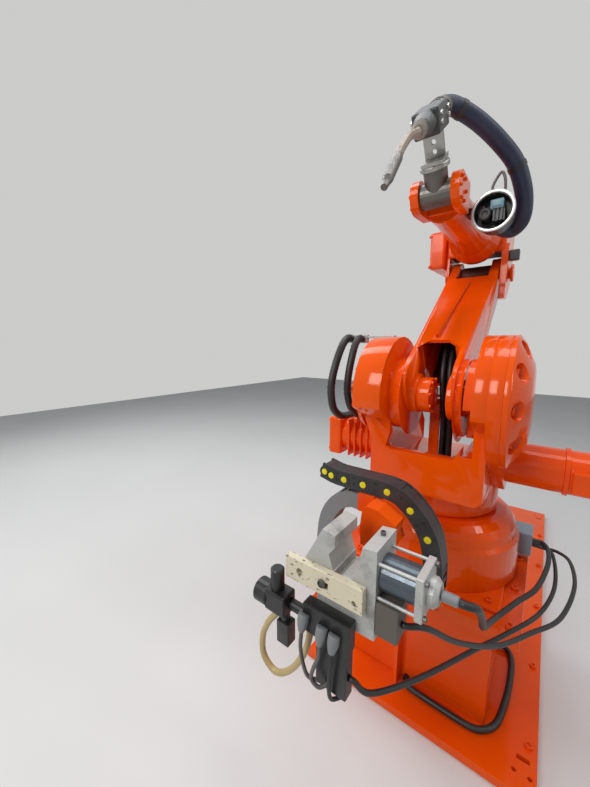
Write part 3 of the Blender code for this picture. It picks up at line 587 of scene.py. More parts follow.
# Domed cover of the right gearbox, drawn in towards the motor's gear, with bolts in scooped pockets
def buildGearCover(settings):
    y, z = restPose["shoulder"][1:]
    inside, seam, radius = settings["inside"], settings["seam"], settings["radius"]
    cover = addCylinder(radius, seam - inside, ((inside + seam) / 2, y, z), "x", 96)
    run = Vector((0, settings["motor"][0] - y, settings["motor"][1] - z))
    slant = (radius - settings["motorRadius"]) / run.length
    editFaces(cover, lambda face: face.normal.dot(run.normalized()) > slant)
    extrude((0, 0, 0))
    share = settings["motorRadius"] / radius
    bpy.ops.transform.resize(value=(1, share, share), center_override=(0, y, z))
    bpy.ops.transform.translate(value=run)
    leaveEdit()
    lid = addCylinder(radius, settings["lidDepth"], (seam + settings["lidMiddle"], y, z), "x", 96)
    editFaces(lid, lambda face: face.normal.x > 0.9)
    for rise, size in settings["dome"]:
        stepOut((rise, 0, 0), size, (0, y, z))
    leaveEdit()
    cutters = []
    spots = []
    for i in range(settings["bolts"]):
        angle = math.radians(180 + 360 * i / settings["bolts"])
        place = (y + settings["boltCircle"] * math.cos(angle), z + settings["boltCircle"] * math.sin(angle))
        middle = (seam + settings["pocketMiddle"], *place)
        cutter = addCylinder(settings["pocket"], settings["pocketDepth"], middle, "x", 28)
        applyBevel(cutter, 0.006, 3)
        cutters.append(cutter)
        spots.append(((seam + settings["boltSeat"], *place), (1, 0, 0)))
    cutWith(lid, joinAll(cutters))
    applyBevel(lid, 0.0018, 2, 40)
    applyBevel(cover, 0.003, 2, 50)
    finishPiece(joinAll([cover, lid]), "gearCoverRight", "paint", "turret")
    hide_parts("right_gear_cover")
    bolt = modelBolt(*settings["boltSize"])
    scatter(bolt, "gearCoverBolts", "paint", "turret", spots)
    bpy.data.objects.remove(bolt)


buildGearCover(gearCoverSet)
print("right gear cover done")


leftCoverSet = {"rim": 0.182, "bolts": 18, "start": -0.2003, "boltSize": (0.009, 0.009)}


# Bolts round the flat left gear housing
def buildLeftCover(settings):
    y, z = restPose["shoulder"][1:]
    start, rim = settings["start"], settings["rim"]
    spots = []
    for i in range(settings["bolts"]):
        angle = 2 * math.pi * (i + 0.5) / settings["bolts"]
        spots.append(((start, y + rim * math.cos(angle), z + rim * math.sin(angle)), (-1, 0, 0)))
    bolt = modelBolt(*settings["boltSize"])
    scatter(bolt, "leftCoverBolts", "paint", "turret", spots)
    bpy.data.objects.remove(bolt)


buildLeftCover(leftCoverSet)
print("left gear cover done")


# A copy of a CAD node's mesh, its doubles merged, to be cut and shaped
def copyNode(name):
    deselectAll()
    copy = bpy.data.objects.new(name + "Copy", nodes[name].data.copy())
    bpy.context.collection.objects.link(copy)
    pick(copy)
    bpy.ops.object.mode_set(mode="EDIT")
    bpy.ops.mesh.select_all(action="SELECT")
    bpy.ops.mesh.remove_doubles(threshold=0.00001)
    leaveEdit()
    return copy


# Moves only the corners whose place passes the test
def moveCorners(item, test, offset):
    pick(item)
    bpy.ops.object.mode_set(mode="EDIT")
    bpy.ops.mesh.select_mode(type="VERT")
    bpy.ops.mesh.select_all(action="DESELECT")
    mesh = bmesh.from_edit_mesh(item.data)
    for corner in mesh.verts:
        corner.select_set(test(corner.co))
    bmesh.update_edit_mesh(item.data)
    bpy.ops.transform.translate(value=offset)
    leaveEdit()


yokeSet = {
    # between these two places the right upright is cut back to a round hub
    "ring": (0.1295, 0.163),
    "ringRadius": 0.26,
    "hub": 0.13,
    "ringFoot": 1.02,
    # block that cuts the front wall's slope; its two right corners are drawn in to make the slope
    "slopeLow": (0.104, -0.34, 1.002),
    "slopeHigh": (0.26, -0.235, 1.17),
    "slopeMiddle": 1.1,
    "lowCornerShift": (-0.152, 0, 0.002),
    "highCornerShift": (-0.060, 0, 0.0),
    # the housing's disc, which the slope leaves whole
    "housing": 0.2055,
    "housingDepth": 0.2,
    "housingMiddle": 0.265,
    "leftFace": -0.13,
    "leftShift": 0.028,
    "notch": 0.99,
}


# Turret casting: the right upright is set back from its round hub, and its front wall slopes to the notch
def buildYoke(settings):
    y, z = restPose["shoulder"][1:]
    yoke = copyNode("turret_yoke")
    inner, outer = settings["ring"]
    ring = addCylinder(settings["ringRadius"], outer - inner, ((inner + outer) / 2, y, z), "x", 72)
    cutWith(ring, addCylinder(settings["hub"], 0.1, (0.146, y, z), "x", 64))
    cutWith(ring, addBlock((0, -0.7, 0.7), (0.4, 0.3, settings["ringFoot"])))
    cutWith(yoke, ring)
    slope = addBlock(settings["slopeLow"], settings["slopeHigh"])
    right, middle = settings["slopeHigh"][0] - 0.01, settings["slopeMiddle"]
    moveCorners(slope, lambda corner: corner.x > right and corner.z < middle, settings["lowCornerShift"])
    moveCorners(slope, lambda corner: corner.x > right and corner.z > middle, settings["highCornerShift"])
    disc = (settings["housingMiddle"], y, z)
    cutWith(slope, addCylinder(settings["housing"], settings["housingDepth"], disc, "x", 72))
    cutWith(yoke, slope)
    face, notch = settings["leftFace"], settings["notch"]
    moveCorners(yoke, lambda corner: abs(corner.x - face) < 0.0016 and corner.z > notch,
                (settings["leftShift"], 0, 0))
    applyBevel(yoke, 0.0025, 2, 40)
    finishPiece(yoke, "turretCasting", "paint", "turret")
    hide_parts("turret_yoke")


buildYoke(yokeSet)
print("turret casting done")


armShellSet = {
    # the hollow behind the front shell, whose upper front edge is drawn back
    "hollowLow": (-0.0845, -0.131, 0.11),
    "hollowHigh": (0.0845, 0.0, 0.712),
    "taper": (0, 0.080, 0),
    # the left cheek between these places moves in, and so do its hub's face and its chamfer
    "cheek": (-0.107, -0.081),
    "cheekTop": 0.2,
    "cheekShift": (0.045, 0, 0),
    "hubFace": -0.124,
    "hubShift": (0.022, 0, 0),
    "chamfer": -0.046,
    "chamferFoot": 0.1,
    "chamferShift": (0.028, 0, 0),
    # both cheeks end below in a round foot, and their rear edge is straight
    "foot": 0.125,
    "centre": (-0.049, 0.035),
    "left": -0.0585,
    "right": 0.1048,
    "rear": 0.076,
    "rearTop": 0.30,
}


# Lower arm: thin front shell over its hollow, and the left cheek set in towards the middle
def buildLowerArm(settings):
    arm = copyNode("lower_arm")
    settle(arm, lowerArmSpace.inverted())
    hollow = addBlock(settings["hollowLow"], settings["hollowHigh"])
    moveCorners(hollow, lambda corner: corner.y < -0.1 and corner.z > 0.5, settings["taper"])
    cutWith(arm, hollow)
    outer, inner = settings["cheek"]
    top, hubFace = settings["cheekTop"], settings["hubFace"]
    moveCorners(arm, lambda corner: outer < corner.x < inner and corner.z < top, settings["cheekShift"])
    moveCorners(arm, lambda corner: abs(corner.x - hubFace) < 0.002 and corner.z < top, settings["hubShift"])
    y, z = settings["centre"]
    left, right, rear = settings["left"], settings["right"], settings["rear"]
    foot = addBlock((left, -0.3, -0.3), (right, rear + 0.0001, z))
    cutWith(foot, addCylinder(settings["foot"], 0.4, (0, y, z), "x", 72))
    cutWith(arm, foot)
    cutWith(arm, addBlock((left, rear, -0.3), (right, 0.3, settings["rearTop"])))
    chamfer, low = settings["chamfer"], settings["chamferFoot"]
    moveCorners(arm, lambda corner: abs(corner.x - chamfer) < 0.002 and low < corner.z < top,
                settings["chamferShift"])
    applyBevel(arm, 0.0025, 2, 40)
    settle(arm, lowerArmSpace)
    finishPiece(arm, "lowerArmCasting", "paint", "lower_arm")
    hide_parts("lower_arm")


buildLowerArm(armShellSet)

armHubSet = {"radius": 0.0625, "length": 0.052, "middle": -0.014, "bolts": 8, "boltCircle": 0.0565,
             "boltSeat": 0.0118, "boltSize": (0.0055, 0.006)}


# Hub inside the left cheek, with a stepped end face and a ring of screws
def buildArmHub(settings):
    hub = addCylinder(settings["radius"], settings["length"], (settings["middle"], 0, 0), "x", 48)
    editFaces(hub, lambda face: face.normal.x > 0.9)
    for rim, step in ((0.012, -0.006), (0.016, 0.008)):
        bpy.ops.mesh.inset(thickness=rim)
        extrude((step, 0, 0))
    leaveEdit()
    applyBevel(hub, 0.003, 3)
    settle(hub, lowerArmSpace)
    finishPiece(hub, "armInnerHub", "paint", "lower_arm")
    bolt = modelBolt(*settings["boltSize"])
    spots = []
    for i in range(settings["bolts"]):
        angle = 2 * math.pi * i / settings["bolts"]
        across, up = settings["boltCircle"] * math.cos(angle), settings["boltCircle"] * math.sin(angle)
        spots.append((lowerArmSpace @ Vector((settings["boltSeat"], across, up)), (1, 0, 0)))
    scatter(bolt, "armHubScrews", "paint", "lower_arm", spots)
    bpy.data.objects.remove(bolt)


buildArmHub(armHubSet)
print("lower arm done")


armWallSet = {
    "length": 0.884,
    "half": 0.0845,
    "wall": (0.070, 0.078),
    "foot": 0.17,
    "footShift": (0, 0.030, 0),
    "topGap": 0.171,
    "forkHalf": 0.0675,
    "forkWall": (0.052, 0.064),
    "forkFoot": -0.1245,
    "forkTop": 0.030,
    "sleeve": (0.0475, 0.130),
    "sleeveRim": 0.006,
}


# Rear walls of the lower arm's hollow and of its fork, and the sleeve round the elbow's pin, all given a dark
# colour that is painted shade for the hollow's shadow
def buildArmWalls(settings):
    top, half, forkHalf = settings["length"], settings["half"], settings["forkHalf"]
    front, rear = settings["wall"]
    wall = addBlock((-half, front, settings["foot"]), (half, rear, top - settings["topGap"]))
    editFaces(wall, lambda face: face.normal.z < -0.9)
    bpy.ops.transform.translate(value=settings["footShift"])
    leaveEdit()
    applyBevel(wall, 0.002)
    settle(wall, lowerArmSpace)
    finishPiece(wall, "lowerArmRearWall", "hollowPaintedShade", "lower_arm")
    front, rear = settings["forkWall"]
    back = addBlock((-forkHalf, front, top + settings["forkFoot"]), (forkHalf, rear, top + settings["forkTop"]))
    applyBevel(back, 0.003)
    settle(back, lowerArmSpace)
    finishPiece(back, "forkRearWall", "hollowPaintedShade", "lower_arm")
    sleeve = addCylinder(*settings["sleeve"], (0, 0, top), "x", 40)
    editFaces(sleeve, lambda face: abs(face.normal.x) > 0.9)
    bpy.ops.mesh.inset(thickness=settings["sleeveRim"])
    leaveEdit()
    applyBevel(sleeve, 0.002)
    settle(sleeve, lowerArmSpace)
    finishPiece(sleeve, "elbowSleeve", "hollowPaintedShade", "elbow_link")


buildArmWalls(armWallSet)
print("lower arm's hollow done")


bundleSet = {
    "cable": 0.0098,
    "pitch": 0.0042,
    "ribs": 0.10,
    "spread": ((-0.011, -0.011), (0.012, -0.010), (-0.010, 0.012), (0.012, 0.012)),
    "route": ((0.036, -0.085, 0.9275), (0.036, -0.086, 0.98), (0.037, -0.090, 1.05), (0.038, -0.104, 1.12),
              (0.038, -0.128, 1.18), (0.036, -0.135, 1.24), (0.033, -0.118, 1.30), (0.030, -0.070, 1.36),
              (0.026, 0.012, 1.412), (0.022, 0.125, 1.485), (0.018, 0.26, 1.57)),
    "start": (0.036, -0.10, 1.07),
    "end": (0.033, -0.10, 1.32),
}


# Four ribbed cables from the bracket up through the arch into the arm
def buildBundle(settings):
    strands = []
    for i, (x, y) in enumerate(settings["spread"]):
        points = [(place[0] + x, place[1] + y, place[2]) for place in settings["route"]]
        route = evenRoute(points, settings["pitch"])
        strand = runHose("bundle%d" % i, route, settings["cable"], "blackRubber", ribs=settings["ribs"])
        strand.data.bevel_resolution = 2
        pick(strand)
        bpy.ops.object.convert(target="MESH")
        strands.append(bpy.context.object)
    bundle = joinAll(strands)
    bundle.name = "cableBundle"
    pick(bundle)
    bpy.ops.object.shade_smooth()
    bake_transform(bundle)
    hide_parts("harness_lower", "harness_upper")


buildBundle(bundleSet)
print("cable bundle done")


elbowHollowSet = {"half": 0.104, "front": -0.099, "rear": 0.018, "top": 0.0856, "depth": 0.0026, "lip": 0.012,
                  "sunk": 0.0012}


# Dull ceiling of the hollow between the elbow's cheeks, with a shallow sunk panel; its dark colour is painted
# shade for the hollow's shadow
def buildElbowHollow(settings):
    half, front, rear, top = (settings[key] for key in ("half", "front", "rear", "top"))
    ceiling = addBlock((-half, front, top - settings["depth"]), (half, rear, top))
    editFaces(ceiling, lambda face: face.normal.z < -0.9)
    bpy.ops.mesh.inset(thickness=settings["lip"])
    extrude((0, 0, settings["sunk"]))
    leaveEdit()
    settle(ceiling, upperArmSpace)
    finishPiece(ceiling, "elbowCeiling", "hollowPaintedShade", "upper_arm")


buildElbowHollow(elbowHollowSet)
print("elbow's hollow done")


chainSet = {
    "face": -0.635,
    "pins": ((-0.160, 1.0045), (-0.138, 0.9985), (-0.097, 0.9962), (-0.040, 0.9965), (0.027, 0.9952),
             (0.087, 0.964), (0.131, 0.904), (0.1462, 0.832)),
    "pin": 0.0085,
    "boss": 0.0165,
    "latchSpread": 0.009,
    "bulgeShare": 0.35,
    "lidRise": 0.0212,
    "lidWidth": 0.052,
    "lidThickness": 0.0015,
}


# Yellow pins with their round bosses, and the small dark latches between them
def buildChainPins(settings):
    face = settings["face"]
    pin = addCylinder(settings["pin"], 0.0024, (0, 0, 0.0010), "z", 20)
    editFaces(pin, lambda side: side.normal.z > 0.9)
    bpy.ops.mesh.inset(thickness=0.0016)
    bpy.ops.transform.translate(value=(0, 0, 0.0006))
    leaveEdit()
    spots = [((x, face - 0.0012, z), (0, -1, 0)) for x, z in settings["pins"]]
    scatter(pin, "chainPins", "yellowPin", "carriage", spots)
    boss = addCylinder(settings["boss"], 0.0016, (0, 0, 0.0004), "z", 28)
    editFaces(boss, lambda side: side.normal.z > 0.9)
    bpy.ops.mesh.inset(thickness=0.0035)
    bpy.ops.transform.translate(value=(0, 0, -0.0006))
    leaveEdit()
    spots = [((x, face, z), (0, -1, 0)) for x, z in settings["pins"]]
    scatter(boss, "chainBosses", "chainPlastic", "carriage", spots)
    latch = addBlock((-0.0035, -0.0028, -0.0006), (0.0035, 0.0028, 0.0008))
    editFaces(latch, lambda side: side.normal.z > 0.9)
    bpy.ops.mesh.inset(thickness=0.0009)
    extrude((0, 0, -0.0009))
    leaveEdit()
    spots = []
    for (x, z), (nextX, nextZ) in zip(settings["pins"], settings["pins"][1:]):
        run = Vector((nextX - x, 0, nextZ - z))
        if run.length > 0.03:
            side = Vector((run.z, 0, -run.x)).normalized() * settings["latchSpread"]
            middle = Vector(((x + nextX) / 2, face, (z + nextZ) / 2))
            bulge = side * settings["bulgeShare"]
            spots += [(middle + side * level - bulge, (0, -1, 0)) for level in (-1, 1)]
    scatter(latch, "chainLatches", "blackPlastic", "carriage", spots)
    for model in (pin, boss, latch):
        bpy.data.objects.remove(model)


buildChainPins(chainSet)


# Closed lids along the chain's outer side: one narrow strip, drawn out along the links
def buildChainLids(settings):
    route = smoothRoute([(x, settings["face"] + 0.0005, z) for x, z in settings["pins"]], 5)
    outer = []
    for i, place in enumerate(route):
        run = (route[min(i + 1, len(route) - 1)] - route[max(i - 1, 0)]).normalized()
        outer.append(place + Vector((-run.z, 0, run.x)) * settings["lidRise"])
    x, y, z = outer[0]
    lids = addBlock((x, y, z - settings["lidThickness"]), (x + 0.001, y + settings["lidWidth"], z))
    editFaces(lids, lambda face: face.normal.x > 0.9)
    for place, nextPlace in zip(outer, outer[1:]):
        extrude(nextPlace - place)
    leaveEdit()
    finishPiece(lids, "chainLids", "chainPlastic", "carriage", 30)


buildChainLids(chainSet)
print("energy chain done")


driveUnitSet = {"centre": (0.137, -0.640, 0.105), "rim": 0.0628, "wire": 0.0042, "ribPitch": 0.00533}


# Wire feed unit: bright rim, motor block with a pale blue top, gear wheel, and a wire hoop over it
def buildDriveUnit(settings):
    centre = Vector(settings["centre"])
    x, y, z = centre
    rim = addCylinder(settings["rim"], 0.007, (x, y + 0.0005, z), "y", 64)
    editFaces(rim, lambda face: abs(face.normal.y) > 0.9)
    bpy.ops.mesh.inset(thickness=0.0095)
    bpy.ops.mesh.delete(type="FACE")
    leaveEdit()
    editFaces(rim, lambda face: False)
    bpy.ops.mesh.select_mode(type="EDGE")
    mesh = bmesh.from_edit_mesh(rim.data)
    for edge in mesh.edges:
        edge.select_set(edge.is_boundary)
    bmesh.update_edit_mesh(rim.data)
    bpy.ops.mesh.bridge_edge_loops()
    bpy.ops.mesh.select_all(action="SELECT")
    bpy.ops.mesh.normals_make_consistent(inside=False)
    leaveEdit()
    applyBevel(rim, 0.0022, 3)
    settle(rim, upperArmSpace)
    finishPiece(rim, "driveUnitRim", "silverRing", "upper_arm")

    motor = addBlock((x - 0.006, y - 0.010, z + 0.004), (x + 0.030, y + 0.046, z + 0.030))
    editFaces(motor, lambda face: face.normal.y < -0.9)
    bpy.ops.mesh.inset(thickness=0.004)
    extrude((0, -0.006, 0))
    leaveEdit()
    applyBevel(motor, 0.002)
    settle(motor, upperArmSpace)
    finishPiece(motor, "driveUnitBlock", "paleBlue", "upper_arm")
    body = addCylinder(0.019, 0.045, (x - 0.022, y + 0.024, z - 0.004), "y", 28)
    editFaces(body, lambda face: face.normal.y < -0.9)
    stepOut((0, -0.004, 0), 0.8, (x - 0.022, y, z - 0.004), "y")
    bpy.ops.mesh.inset(thickness=0.006)
    extrude((0, 0.006, 0))
    leaveEdit()
    ribs = addBlock((x + 0.002, y + 0.002, z - 0.032), (x + 0.034, y + 0.046, z + 0.002))
    editFaces(ribs, lambda face: face.normal.y < -0.9)
    bpy.ops.mesh.subdivide(number_cuts=5)
    leaveEdit()
    pitch = settings["ribPitch"]
    editFaces(ribs, lambda face: face.normal.y < -0.9 and int((face.calc_center_median().x - x) / pitch) % 2 == 0)
    extrude((0, -0.008, 0))
    leaveEdit()
    applyBevel(body, 0.0012)
    inner = joinAll([body, ribs])
    settle(inner, upperArmSpace)
    finishPiece(inner, "driveUnitMotor", "darkGrey", "upper_arm")
    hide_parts("drive_unit_motor")
    hoop = [(x, y + 0.012, z + 0.050), (x - 0.006, y + 0.010, z + 0.075), (x + 0.010, y + 0.006, z + 0.105),
            (x + 0.020, y + 0.004, z + 0.108), (x + 0.028, y + 0.006, z + 0.085),
            (x + 0.030, y + 0.014, z + 0.046)]
    route = [upperArmSpace @ place for place in smoothRoute(hoop, 8)]
    runHose("driveUnitHoop", route, settings["wire"], "darkSteel", "upper_arm")


buildDriveUnit(driveUnitSet)
print("wire feed unit done")


torchSet = {
    "reach": 0.194,
    "screw": (0.0065, 0.006),
    # height, radius and length of each clamp ring
    "rings": ((-0.090, 0.0225, 0.006), (-0.101, 0.0222, 0.004), (0.105, 0.0335, 0.010), (0.075, 0.0335, 0.005)),
}


# Clamp rings round the torch, and screws on both sides of its holder
def buildTorchTrim(settings):
    reach = settings["reach"]
    rings = []
    for height, radius, length in settings["rings"]:
        ring = addCylinder(radius, length, (0, -reach, height), "z", 36)
        editFaces(ring, lambda face: abs(face.normal.z) > 0.9)
        bpy.ops.mesh.inset(thickness=0.001)
        leaveEdit()
        applyBevel(ring, 0.0012)
        rings.append(ring)
    joined = joinAll(rings)
    settle(joined, toolSpace)
    finishPiece(joined, "torchRings", "darkSteel", "tool")
    bolt = modelBolt(*settings["screw"])
    local = [((side * 0.036, -reach - 0.010 * k, height), (side, 0, 0)) for side in (-1, 1)
             for k, height in ((-1, 0.045), (1, 0.045), (-1, -0.030), (1, -0.030))]
    spots = [(toolSpace @ Vector(place), toolSpace.to_3x3() @ Vector(facing)) for place, facing in local]
    scatter(bolt, "torchScrews", "zincSteel", "tool", spots)
    bpy.data.objects.remove(bolt)


buildTorchTrim(torchSet)
print("torch done")


stationSet = {
    "front": -0.868,
    "top": 0.795,
    "axisY": -0.824,
    "axisZ": 0.922,
    "endFace": 0.1871,
    "screwReach": 0.034,
    "capScrew": (0.087, 0.020, 0.1905),
    "lead": 0.0042,
}


# Screws, connectors, leads and fittings of the cleaning station
def buildStationTrim(settings):
    front, top = settings["front"], settings["top"]
    axisY, axisZ = settings["axisY"], settings["axisZ"]
    bolt = modelBolt(0.0055, 0.006)
    reach = settings["screwReach"]
    spots = [((settings["endFace"], axisY + y * reach, axisZ + z * reach), (1, 0, 0))
             for y in (-1, 1) for z in (-1, 1)]
    x, rear, rise = settings["capScrew"]
    spots.append(((x, axisY + rear, top + rise), (0, 0, 1)))
    scatter(bolt, "stationScrews", "darkSteel", "carriage", spots)
    sleeve = addCylinder(0.0125, 0.016, (0, 0, 0.008), "z", 24)
    editFaces(sleeve, lambda face: face.normal.z > 0.9)
    stepOut((0, 0, 0.010), 0.80, (0, 0, 0), "z")
    stepOut((0, 0, 0.010), 0.62, (0, 0, 0), "z")
    leaveEdit()
    applyBevel(sleeve, 0.001)
    plugs = ((-0.040, front - 0.032, top + 0.008), (0.006, front - 0.033, top + 0.004),
             (0.034, front - 0.032, top + 0.002))
    scatter(sleeve, "stationPlugs", "greyPlastic", "carriage", [(place, (0, -0.35, -1)) for place in plugs])
    bpy.data.objects.remove(sleeve)
    bpy.data.objects.remove(bolt)
    leads = {
        "stationLead1": ((-0.040, front - 0.042, top - 0.024), (-0.040, front - 0.046, top - 0.06),
                         (-0.034, front - 0.044, top - 0.10), (-0.028, front - 0.034, top - 0.135),
                         (-0.016, front - 0.014, top - 0.155)),
        "stationLead2": ((0.006, front - 0.043, top - 0.028), (0.006, front - 0.047, top - 0.055),
                         (-0.004, front - 0.050, top - 0.085), (-0.010, front - 0.048, top - 0.115),
                         (0.006, front - 0.044, top - 0.128), (0.020, front - 0.0305, top - 0.122)),
        "stationLead3": ((0.034, front - 0.042, top - 0.030), (0.034, front - 0.046, top - 0.06),
                         (0.030, front - 0.045, top - 0.10), (0.030, front - 0.036, top - 0.145),
                         (0.040, front - 0.010, top - 0.16)),
    }
    for name, points in leads.items():
        finish = "blackRubber" if name.endswith("3") else "stoneGrey"
        runHose(name, smoothRoute(points, 8), settings["lead"], finish, "carriage")

    pin = addCylinder(0.0085, 0.016, (-0.006, front - 0.016, top + 0.087), "y", 20)
    editFaces(pin, lambda face: face.normal.y < -0.9)
    bpy.ops.mesh.inset(thickness=0.0015)
    extrude((0, 0.004, 0))
    leaveEdit()
    applyBevel(pin, 0.0008)
    finishPiece(pin, "barPin", "brownGrey", "carriage")


buildStationTrim(stationSet)
print("station trim done")


boltSet = {
    "flange": 0.30,
    "flangeTop": 0.5096,
    "foot": 0.235,
    "footTop": 0.5218,
    "footInner": 0.55,
    "plateReach": 0.385,
    "plateTop": 0.030,
    "platePlaces": (-0.20, 0.15, 0.55, 0.95, 1.35),
    "coverBoxFront": -0.1303,
    "coverBoxSide": -0.2005,
    "coverBoxX": (-0.194, -0.138),
    "coverBoxY": (-0.115, 0.185),
    "coverBoxZ": (0.055, 0.200),
    "forkFace": 0.072,
    "forkCircle": 0.035,
    "motorHeight": 0.94,
    # each motor's end face, its screws' reach and the way they point
    "motorEnds": ((0.5505, 0.066, 1), (-0.4855, 0.070, -1)),
}


# Screw heads on the flange, the foot, the carriage plate, the elbow's cover box, the wrist and the motors
def buildBolts(settings):
    bolt = modelBolt(0.012, 0.011)
    reach, edge, share = settings["foot"], settings["flange"], settings["footInner"]
    spots = [((x, y, settings["footTop"]), (0, 0, 1)) for x in (-reach, -reach * share, reach * share, reach)
             for y in (-reach, reach)]
    spots += [((x, y, settings["flangeTop"]), (0, 0, 1)) for x in (-edge, edge)
              for y in (-edge, -edge / 3, edge / 3, edge)]
    spots += [((side * settings["plateReach"], y, settings["plateTop"]), (0, 0, 1)) for side in (-1, 1)
              for y in settings["platePlaces"]]
    scatter(bolt, "baseBolts", "paint", "carriage", spots)
    small = modelBolt(0.006, 0.006)
    heights = settings["coverBoxZ"]
    local = [((x, settings["coverBoxFront"], z), (0, -1, 0)) for x in settings["coverBoxX"] for z in heights]
    local += [((settings["coverBoxSide"], y, z), (-1, 0, 0)) for y in settings["coverBoxY"] for z in heights]
    spots = [(upperArmSpace @ Vector(place), upperArmSpace.to_3x3() @ Vector(facing)) for place, facing in local]
    scatter(small, "coverBoxScrews", "paint", "upper_arm", spots)
    local = []
    face, circle = settings["forkFace"], settings["forkCircle"]
    for side in (-1, 1):
        for i in range(6):
            angle = math.pi * i / 3
            local.append(((side * face, circle * math.cos(angle), circle * math.sin(angle)), (side, 0, 0)))
    spots = [(forkSpace @ Vector(place), forkSpace.to_3x3() @ Vector(facing)) for place, facing in local]
    scatter(small, "forkScrews", "paint", "wrist", spots)
    spots = [((end, y * reach, settings["motorHeight"] + z * reach), (way, 0, 0))
             for end, reach, way in settings["motorEnds"] for y in (-1, 1) for z in (-1, 1)]
    scatter(small, "motorScrews", "paint", "turret", spots)
    for model in (bolt, small):
        bpy.data.objects.remove(model)


buildBolts(boltSet)
print("bolts done")


cordRoutes = {
    "stationCable1": {
        "node": "station_cable_1", "radius": 0.0075, "finish": "blackRubber",
        "route": ((0.2363, -0.824, 0.922), (0.247, -0.824, 0.922), (0.262, -0.80, 0.905), (0.262, -0.71, 0.82),
                  (0.255, -0.58, 0.70), (0.270, -0.44, 0.63), (0.312, -0.30, 0.605), (0.356, -0.19, 0.60),
                  (0.384, -0.03, 0.60), (0.384, 0.08, 0.60), (0.366, 0.125, 0.60), (0.3453, 0.125, 0.60),
                  (0.3353, 0.125, 0.60)),
    },
    "stationCable2": {
        "node": "station_cable_2", "radius": 0.006, "finish": "blackRubber",
        "route": ((0.0603, -0.883, 0.70), (0.071, -0.883, 0.70), (0.10, -0.86, 0.672), (0.16, -0.74, 0.64),
                  (0.235, -0.56, 0.605), (0.300, -0.42, 0.585), (0.368, -0.27, 0.575), (0.405, -0.10, 0.575),
                  (0.402, 0.09, 0.575), (0.375, 0.15, 0.575), (0.3453, 0.15, 0.575), (0.3353, 0.15, 0.575)),
    },
    "stationCable3": {
        "node": "station_cable_3", "radius": 0.006, "finish": "blackRubber",
        "route": ((0.1463, -0.845, 0.845), (0.156, -0.845, 0.845), (0.185, -0.81, 0.83), (0.225, -0.70, 0.735),
                  (0.285, -0.54, 0.635), (0.350, -0.40, 0.60), (0.415, -0.27, 0.585), (0.455, -0.08, 0.585),
                  (0.450, 0.09, 0.575), (0.415, 0.165, 0.56), (0.375, 0.175, 0.553), (0.355, 0.175, 0.553),
                  (0.3353, 0.175, 0.553)),
    },
    "airTube": {
        "node": "air_tube", "radius": 0.0075, "finish": "tubeYellow",
        "route": ((-0.124, -0.89, 0.7675), (-0.124, -0.89, 0.753), (-0.150, -0.892, 0.715),
                  (-0.170, -0.892, 0.664), (-0.166, -0.892, 0.613), (-0.130, -0.89, 0.590),
                  (-0.088, -0.888, 0.622), (-0.054, -0.884, 0.680), (-0.0385, -0.883, 0.735),
                  (-0.038, -0.883, 0.7597)),
    },
    "plateHose": {
        "node": "plate_hose", "radius": 0.011, "finish": "blackRubber",
        "route": ((0.2553, 0.17, 0.055), (0.266, 0.17, 0.055), (0.298, 0.155, 0.0415), (0.312, 0.10, 0.0415),
                  (0.313, 0.0, 0.0415), (0.306, -0.10, 0.0415), (0.288, -0.20, 0.0415), (0.25, -0.25, 0.0415),
                  (0.205, -0.264, 0.0415), (0.12, -0.264, 0.0415), (0.045, -0.262, 0.0415),
                  (0.002, -0.258, 0.0415), (-0.016, -0.243, 0.0415), (-0.018, -0.2305, 0.0415),
                  (-0.018, -0.2203, 0.0415)),
    },
}


def routeLength(route):
    return sum((after - before).length for before, after in zip(route, route[1:]))


# The cables and hoses that run over the carriage, each between two of its pieces
def buildCords(settings):
    for name, facts in settings.items():
        route = smoothRoute(facts["route"], 6)
        cord = runHose(name, route, facts["radius"], facts["finish"], "carriage")
        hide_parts(facts["node"])
        routeLength(route)


buildCords(cordRoutes)
print("cables on the carriage done")


motorHoseSet = {
    "motorHose1": {
        "node": "motor_hose_1", "radius": 0.0155,
        "route": ((-0.334, -0.1724, 1.392), (-0.334, -0.198, 1.392), (-0.335, -0.231, 1.372),
                  (-0.338, -0.268, 1.318), (-0.342, -0.298, 1.245), (-0.345, -0.304, 1.185),
                  (-0.351, -0.275, 1.115), (-0.361, -0.210, 1.073), (-0.373, -0.142, 1.056),
                  (-0.380, -0.092, 1.051), (-0.384, -0.045, 1.048)),
    },
    "motorHose2": {
        "node": "motor_hose_2", "radius": 0.0145,
        "route": ((-0.285, -0.1724, 1.390), (-0.285, -0.195, 1.390), (-0.286, -0.224, 1.367),
                  (-0.288, -0.250, 1.308), (-0.292, -0.266, 1.235), (-0.296, -0.260, 1.175),
                  (-0.300, -0.225, 1.118), (-0.306, -0.160, 1.078), (-0.315, -0.110, 1.056),
                  (-0.320, -0.080, 1.049), (-0.322, -0.045, 1.047)),
    },
}


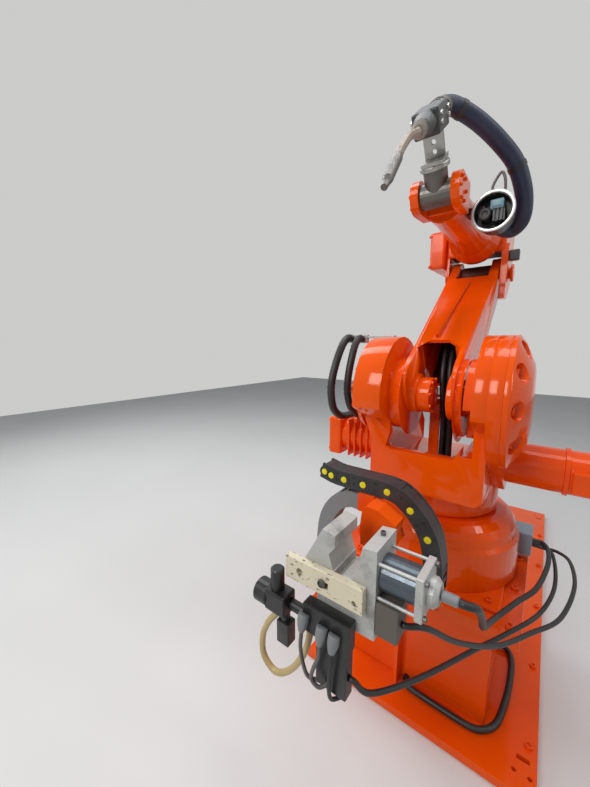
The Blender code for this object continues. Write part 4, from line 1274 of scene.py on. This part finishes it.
# Ribbed conduits from the clamp on the left housing down to the left motor
def buildMotorHoses(settings):
    for name, facts in settings.items():
        route = evenRoute(facts["route"], 0.0055)
        conduit = runHose(name, route, facts["radius"] * 1.03, "blackRubber", "turret", 0.10)
        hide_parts(facts["node"])
        routeLength(route)
        2 * facts["radius"] * 1.03


buildMotorHoses(motorHoseSet)
print("motor hoses done")


torchHoseSet = {
    "radius": 0.026,
    "route": ((0.0, -0.2505, 2.0776), (0.0, -0.234, 2.0905), (0.012, -0.208, 2.099), (0.04, -0.175, 2.090),
              (0.085, -0.135, 2.058), (0.135, -0.085, 2.010), (0.178, -0.035, 1.955), (0.202, 0.005, 1.888),
              (0.208, 0.038, 1.835), (0.200, 0.066, 1.797), (0.176, 0.084, 1.780), (0.152, 0.070, 1.781),
              (0.1375, 0.044, 1.789), (0.137, 0.022, 1.7925), (0.137, 0.008, 1.7935), (0.137, -0.0078, 1.7935)),
    # where the hose is split, as shares of its route
    "cuts": (0.20, 0.42),
    "gap": 0.0015,
    "strap": 0.0278,
    # places along the hose's end that the strap ring spans
    "strapPlaces": (-0.013, -0.004, 0.002),
}


# The torch's hose in three stretches, with a strap ring over each gap
def buildTorchHose(settings):
    route = smoothRoute(settings["route"], 8)
    marks = [0] + [int(share * len(route)) for share in settings["cuts"]] + [len(route) - 1]
    parts = (("torchHoseTool", "torch_hose_tool", "tool"), ("torchHoseWrist", "torch_hose_wrist", "wrist"),
             ("torchHoseArm", "torch_hose_arm", "upper_arm"))
    for (name, node, body), first, last in zip(parts, marks, marks[1:]):
        stretch = [Vector(place) for place in route[first:last + 1]]
        if last < len(route) - 1:
            run = (stretch[-1] - stretch[-2]).normalized()
            stretch[-1] = stretch[-1] - run * settings["gap"]
        piece = runHose(name, stretch, settings["radius"], "navySleeve", body)
        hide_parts(node)
        if last < len(route) - 1:
            span = [stretch[-1] + run * place for place in settings["strapPlaces"]]
            runHose(name + "Strap", span, settings["strap"], "blackRubber", body)


buildTorchHose(torchHoseSet)
print("torch hose done")
